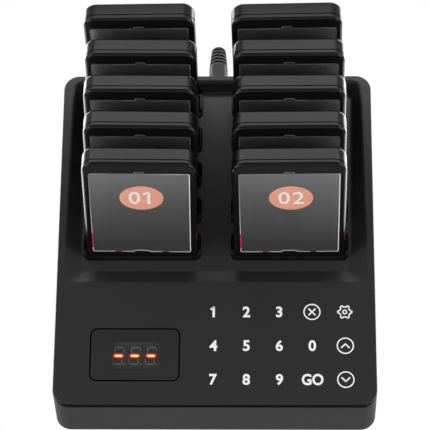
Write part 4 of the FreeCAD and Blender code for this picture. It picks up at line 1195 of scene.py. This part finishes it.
# %% [markdown]
# ## The studio
#
# The object stands on a white sweep in soft light from all round, as small products do. Black
# plastic shows hardly any colour of its own: what the eye reads is what its gloss mirrors. So
# the sweep and the surroundings are graded for the gloss alone. The front wall mirrors the
# sweep just before it, the pagers' rounded sides mirror bright strips beside the base, and the
# deck mirrors a dim ceiling with one small light over it. Two large soft boxes at the sides
# give the plain light in which the white signs and the stickers show their own colour. A
# narrow strip above and behind the base is mirrored by the pagers' flat tops, and draws a
# sheen on the tray.

# %% The sweep
# how the sweep looks in the gloss: pairs say where a grade rises, in metres from the middle
SIDE_GLOW_FROM = (120 * MM, 140 * MM)
SIDE_GLOW_TO = (300 * MM, 600 * MM)
SIDE_GLOW_START = (-130 * MM, -70 * MM)
FRONT_BAND = (-170 * MM, -145 * MM)
FRONT_SHADE = (-250 * MM, -175 * MM)
FAR_GLOSS, NEAR_GLOSS, BAND_GLOSS, SIDE_GLOSS = 0.2, 0.38, 0.55, 6.0
SWEEP_REACH = 6


def make_sweep_finish():
    """White to the camera, graded to the gloss and a pale matte floor to all other light."""
    paint = Paint("white_sweep", (0.9, 0.9, 0.9), 1.0, Specular_IOR_Level=0.0)
    across, along = abs(paint.axis("X")), paint.axis("Y")
    beside = across.ease(*SIDE_GLOW_FROM) * (1 - across.ease(*SIDE_GLOW_TO))
    beside = beside * along.ease(*SIDE_GLOW_START)
    near = along.ease(*FRONT_SHADE)
    band = near * (1 - along.ease(*FRONT_BAND))
    mirrored = FAR_GLOSS + NEAR_GLOSS * near + BAND_GLOSS * band + SIDE_GLOSS * beside
    seen = paint.node("ShaderNodeLightPath", output="Is Camera Ray")
    gloss = paint.node("ShaderNodeLightPath", output="Is Glossy Ray")
    white = paint.node("ShaderNodeEmission", None, {"Strength": seen + gloss * mirrored})
    matte = Wire(paint, paint.shader.outputs[0])
    mix = paint.node("ShaderNodeMixShader", None, {0: seen + gloss, 1: matte, 2: white})
    paint.join(paint.tree.nodes["Material Output"].inputs["Surface"], mix)
    return paint.material


def make_table():
    bm = bmesh.new()
    bmesh.ops.create_grid(bm, x_segments=1, y_segments=1, size=SWEEP_REACH)
    mesh = bpy.data.meshes.new("table")
    bm.to_mesh(mesh)
    bm.free()
    mesh.materials.append(make_sweep_finish())
    table = add_object("table", mesh)
    table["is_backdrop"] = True


make_table()
print("the sweep is", 2 * SWEEP_REACH, "m wide")

# %% The surroundings
# brightness from the horizon, 0, to straight up, 1, before and behind the object
FRONT_SKY = ((0.0, 1.3), (0.35, 1.3), (0.72, 0.25), (0.9, 0.06), (1.0, 0.03))
BACK_SKY = ((0.0, 0.9), (0.25, 0.8), (0.5, 0.4), (0.85, 0.04), (1.0, 0.03))
SKY_SEAM = (-0.15, 0.25)      # where the front sky turns into the back one


def make_surroundings():
    world = bpy.data.worlds.new("studio")
    scene.world = world
    world.use_nodes = True
    sky = Shading(world.node_tree)
    sky.tree.nodes.remove(sky.tree.nodes["Background"])
    place = sky.node("ShaderNodeTexCoord", output="Generated")
    back, height = [sky.node("ShaderNodeSeparateXYZ", None, {"Vector": place}, output=name)
                    for name in "YZ"]
    grade = sky.blend(back.ease(*SKY_SEAM), sky.ramp(height, FRONT_SKY), sky.ramp(height, BACK_SKY))
    graded = sky.node("ShaderNodeBackground", None, {"Color": grade})
    white = sky.node("ShaderNodeBackground", None, {"Color": (1, 1, 1, 1)})
    seen = sky.node("ShaderNodeLightPath", output="Is Camera Ray")
    mix = sky.node("ShaderNodeMixShader", None, {0: seen, 1: graded, 2: white})
    sky.join(sky.tree.nodes["World Output"].inputs["Surface"], mix)


make_surroundings()
print("the sky has", len(FRONT_SKY) + len(BACK_SKY), "grades")

# %% The lamps
# each soft box: name, place, the point it faces, its width and depth, and its watts
SOFTBOXES = [
    ("left_box", (-1.5, -0.6, 0.75), (0, 0, 0.08), (0.9, 1.1), 14),
    ("right_box", (1.5, -0.6, 0.75), (0, 0, 0.08), (0.9, 1.1), 14),
    ("top_box", (0, -0.08, 0.62), (0, -0.08, 0), (0.9, 0.22), 0.6),
    ("rear_box", (0, 0.232, 0.31), (0, 0.232, 0), (0.9, 0.156), 1.5),
]


def make_softbox(name, place, target, size, power):
    data = bpy.data.lights.new(name, "AREA")
    data.shape = "RECTANGLE"
    data.size, data.size_y = size
    data.energy = power
    lamp = add_object(name, data)
    lamp.location = place
    lamp.rotation_mode = "QUATERNION"
    lamp.rotation_quaternion = (Vector(target) - Vector(place)).to_track_quat("-Z", "Y")


for softbox in SOFTBOXES:
    make_softbox(*softbox)
scene.view_settings.view_transform = "Standard"
print(len(SOFTBOXES), "soft boxes")

# %% [markdown]
# ## Last look
#
# The dressed part's box is written down, so that it is easy to see that nothing stands out
# of the model.

# %% Write the sizes and finish
dressed_low, dressed_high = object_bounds()
dressed = [round(side / MM, 1) for side in dressed_high - dressed_low]
print("the dressed part measures", dressed, "mm")
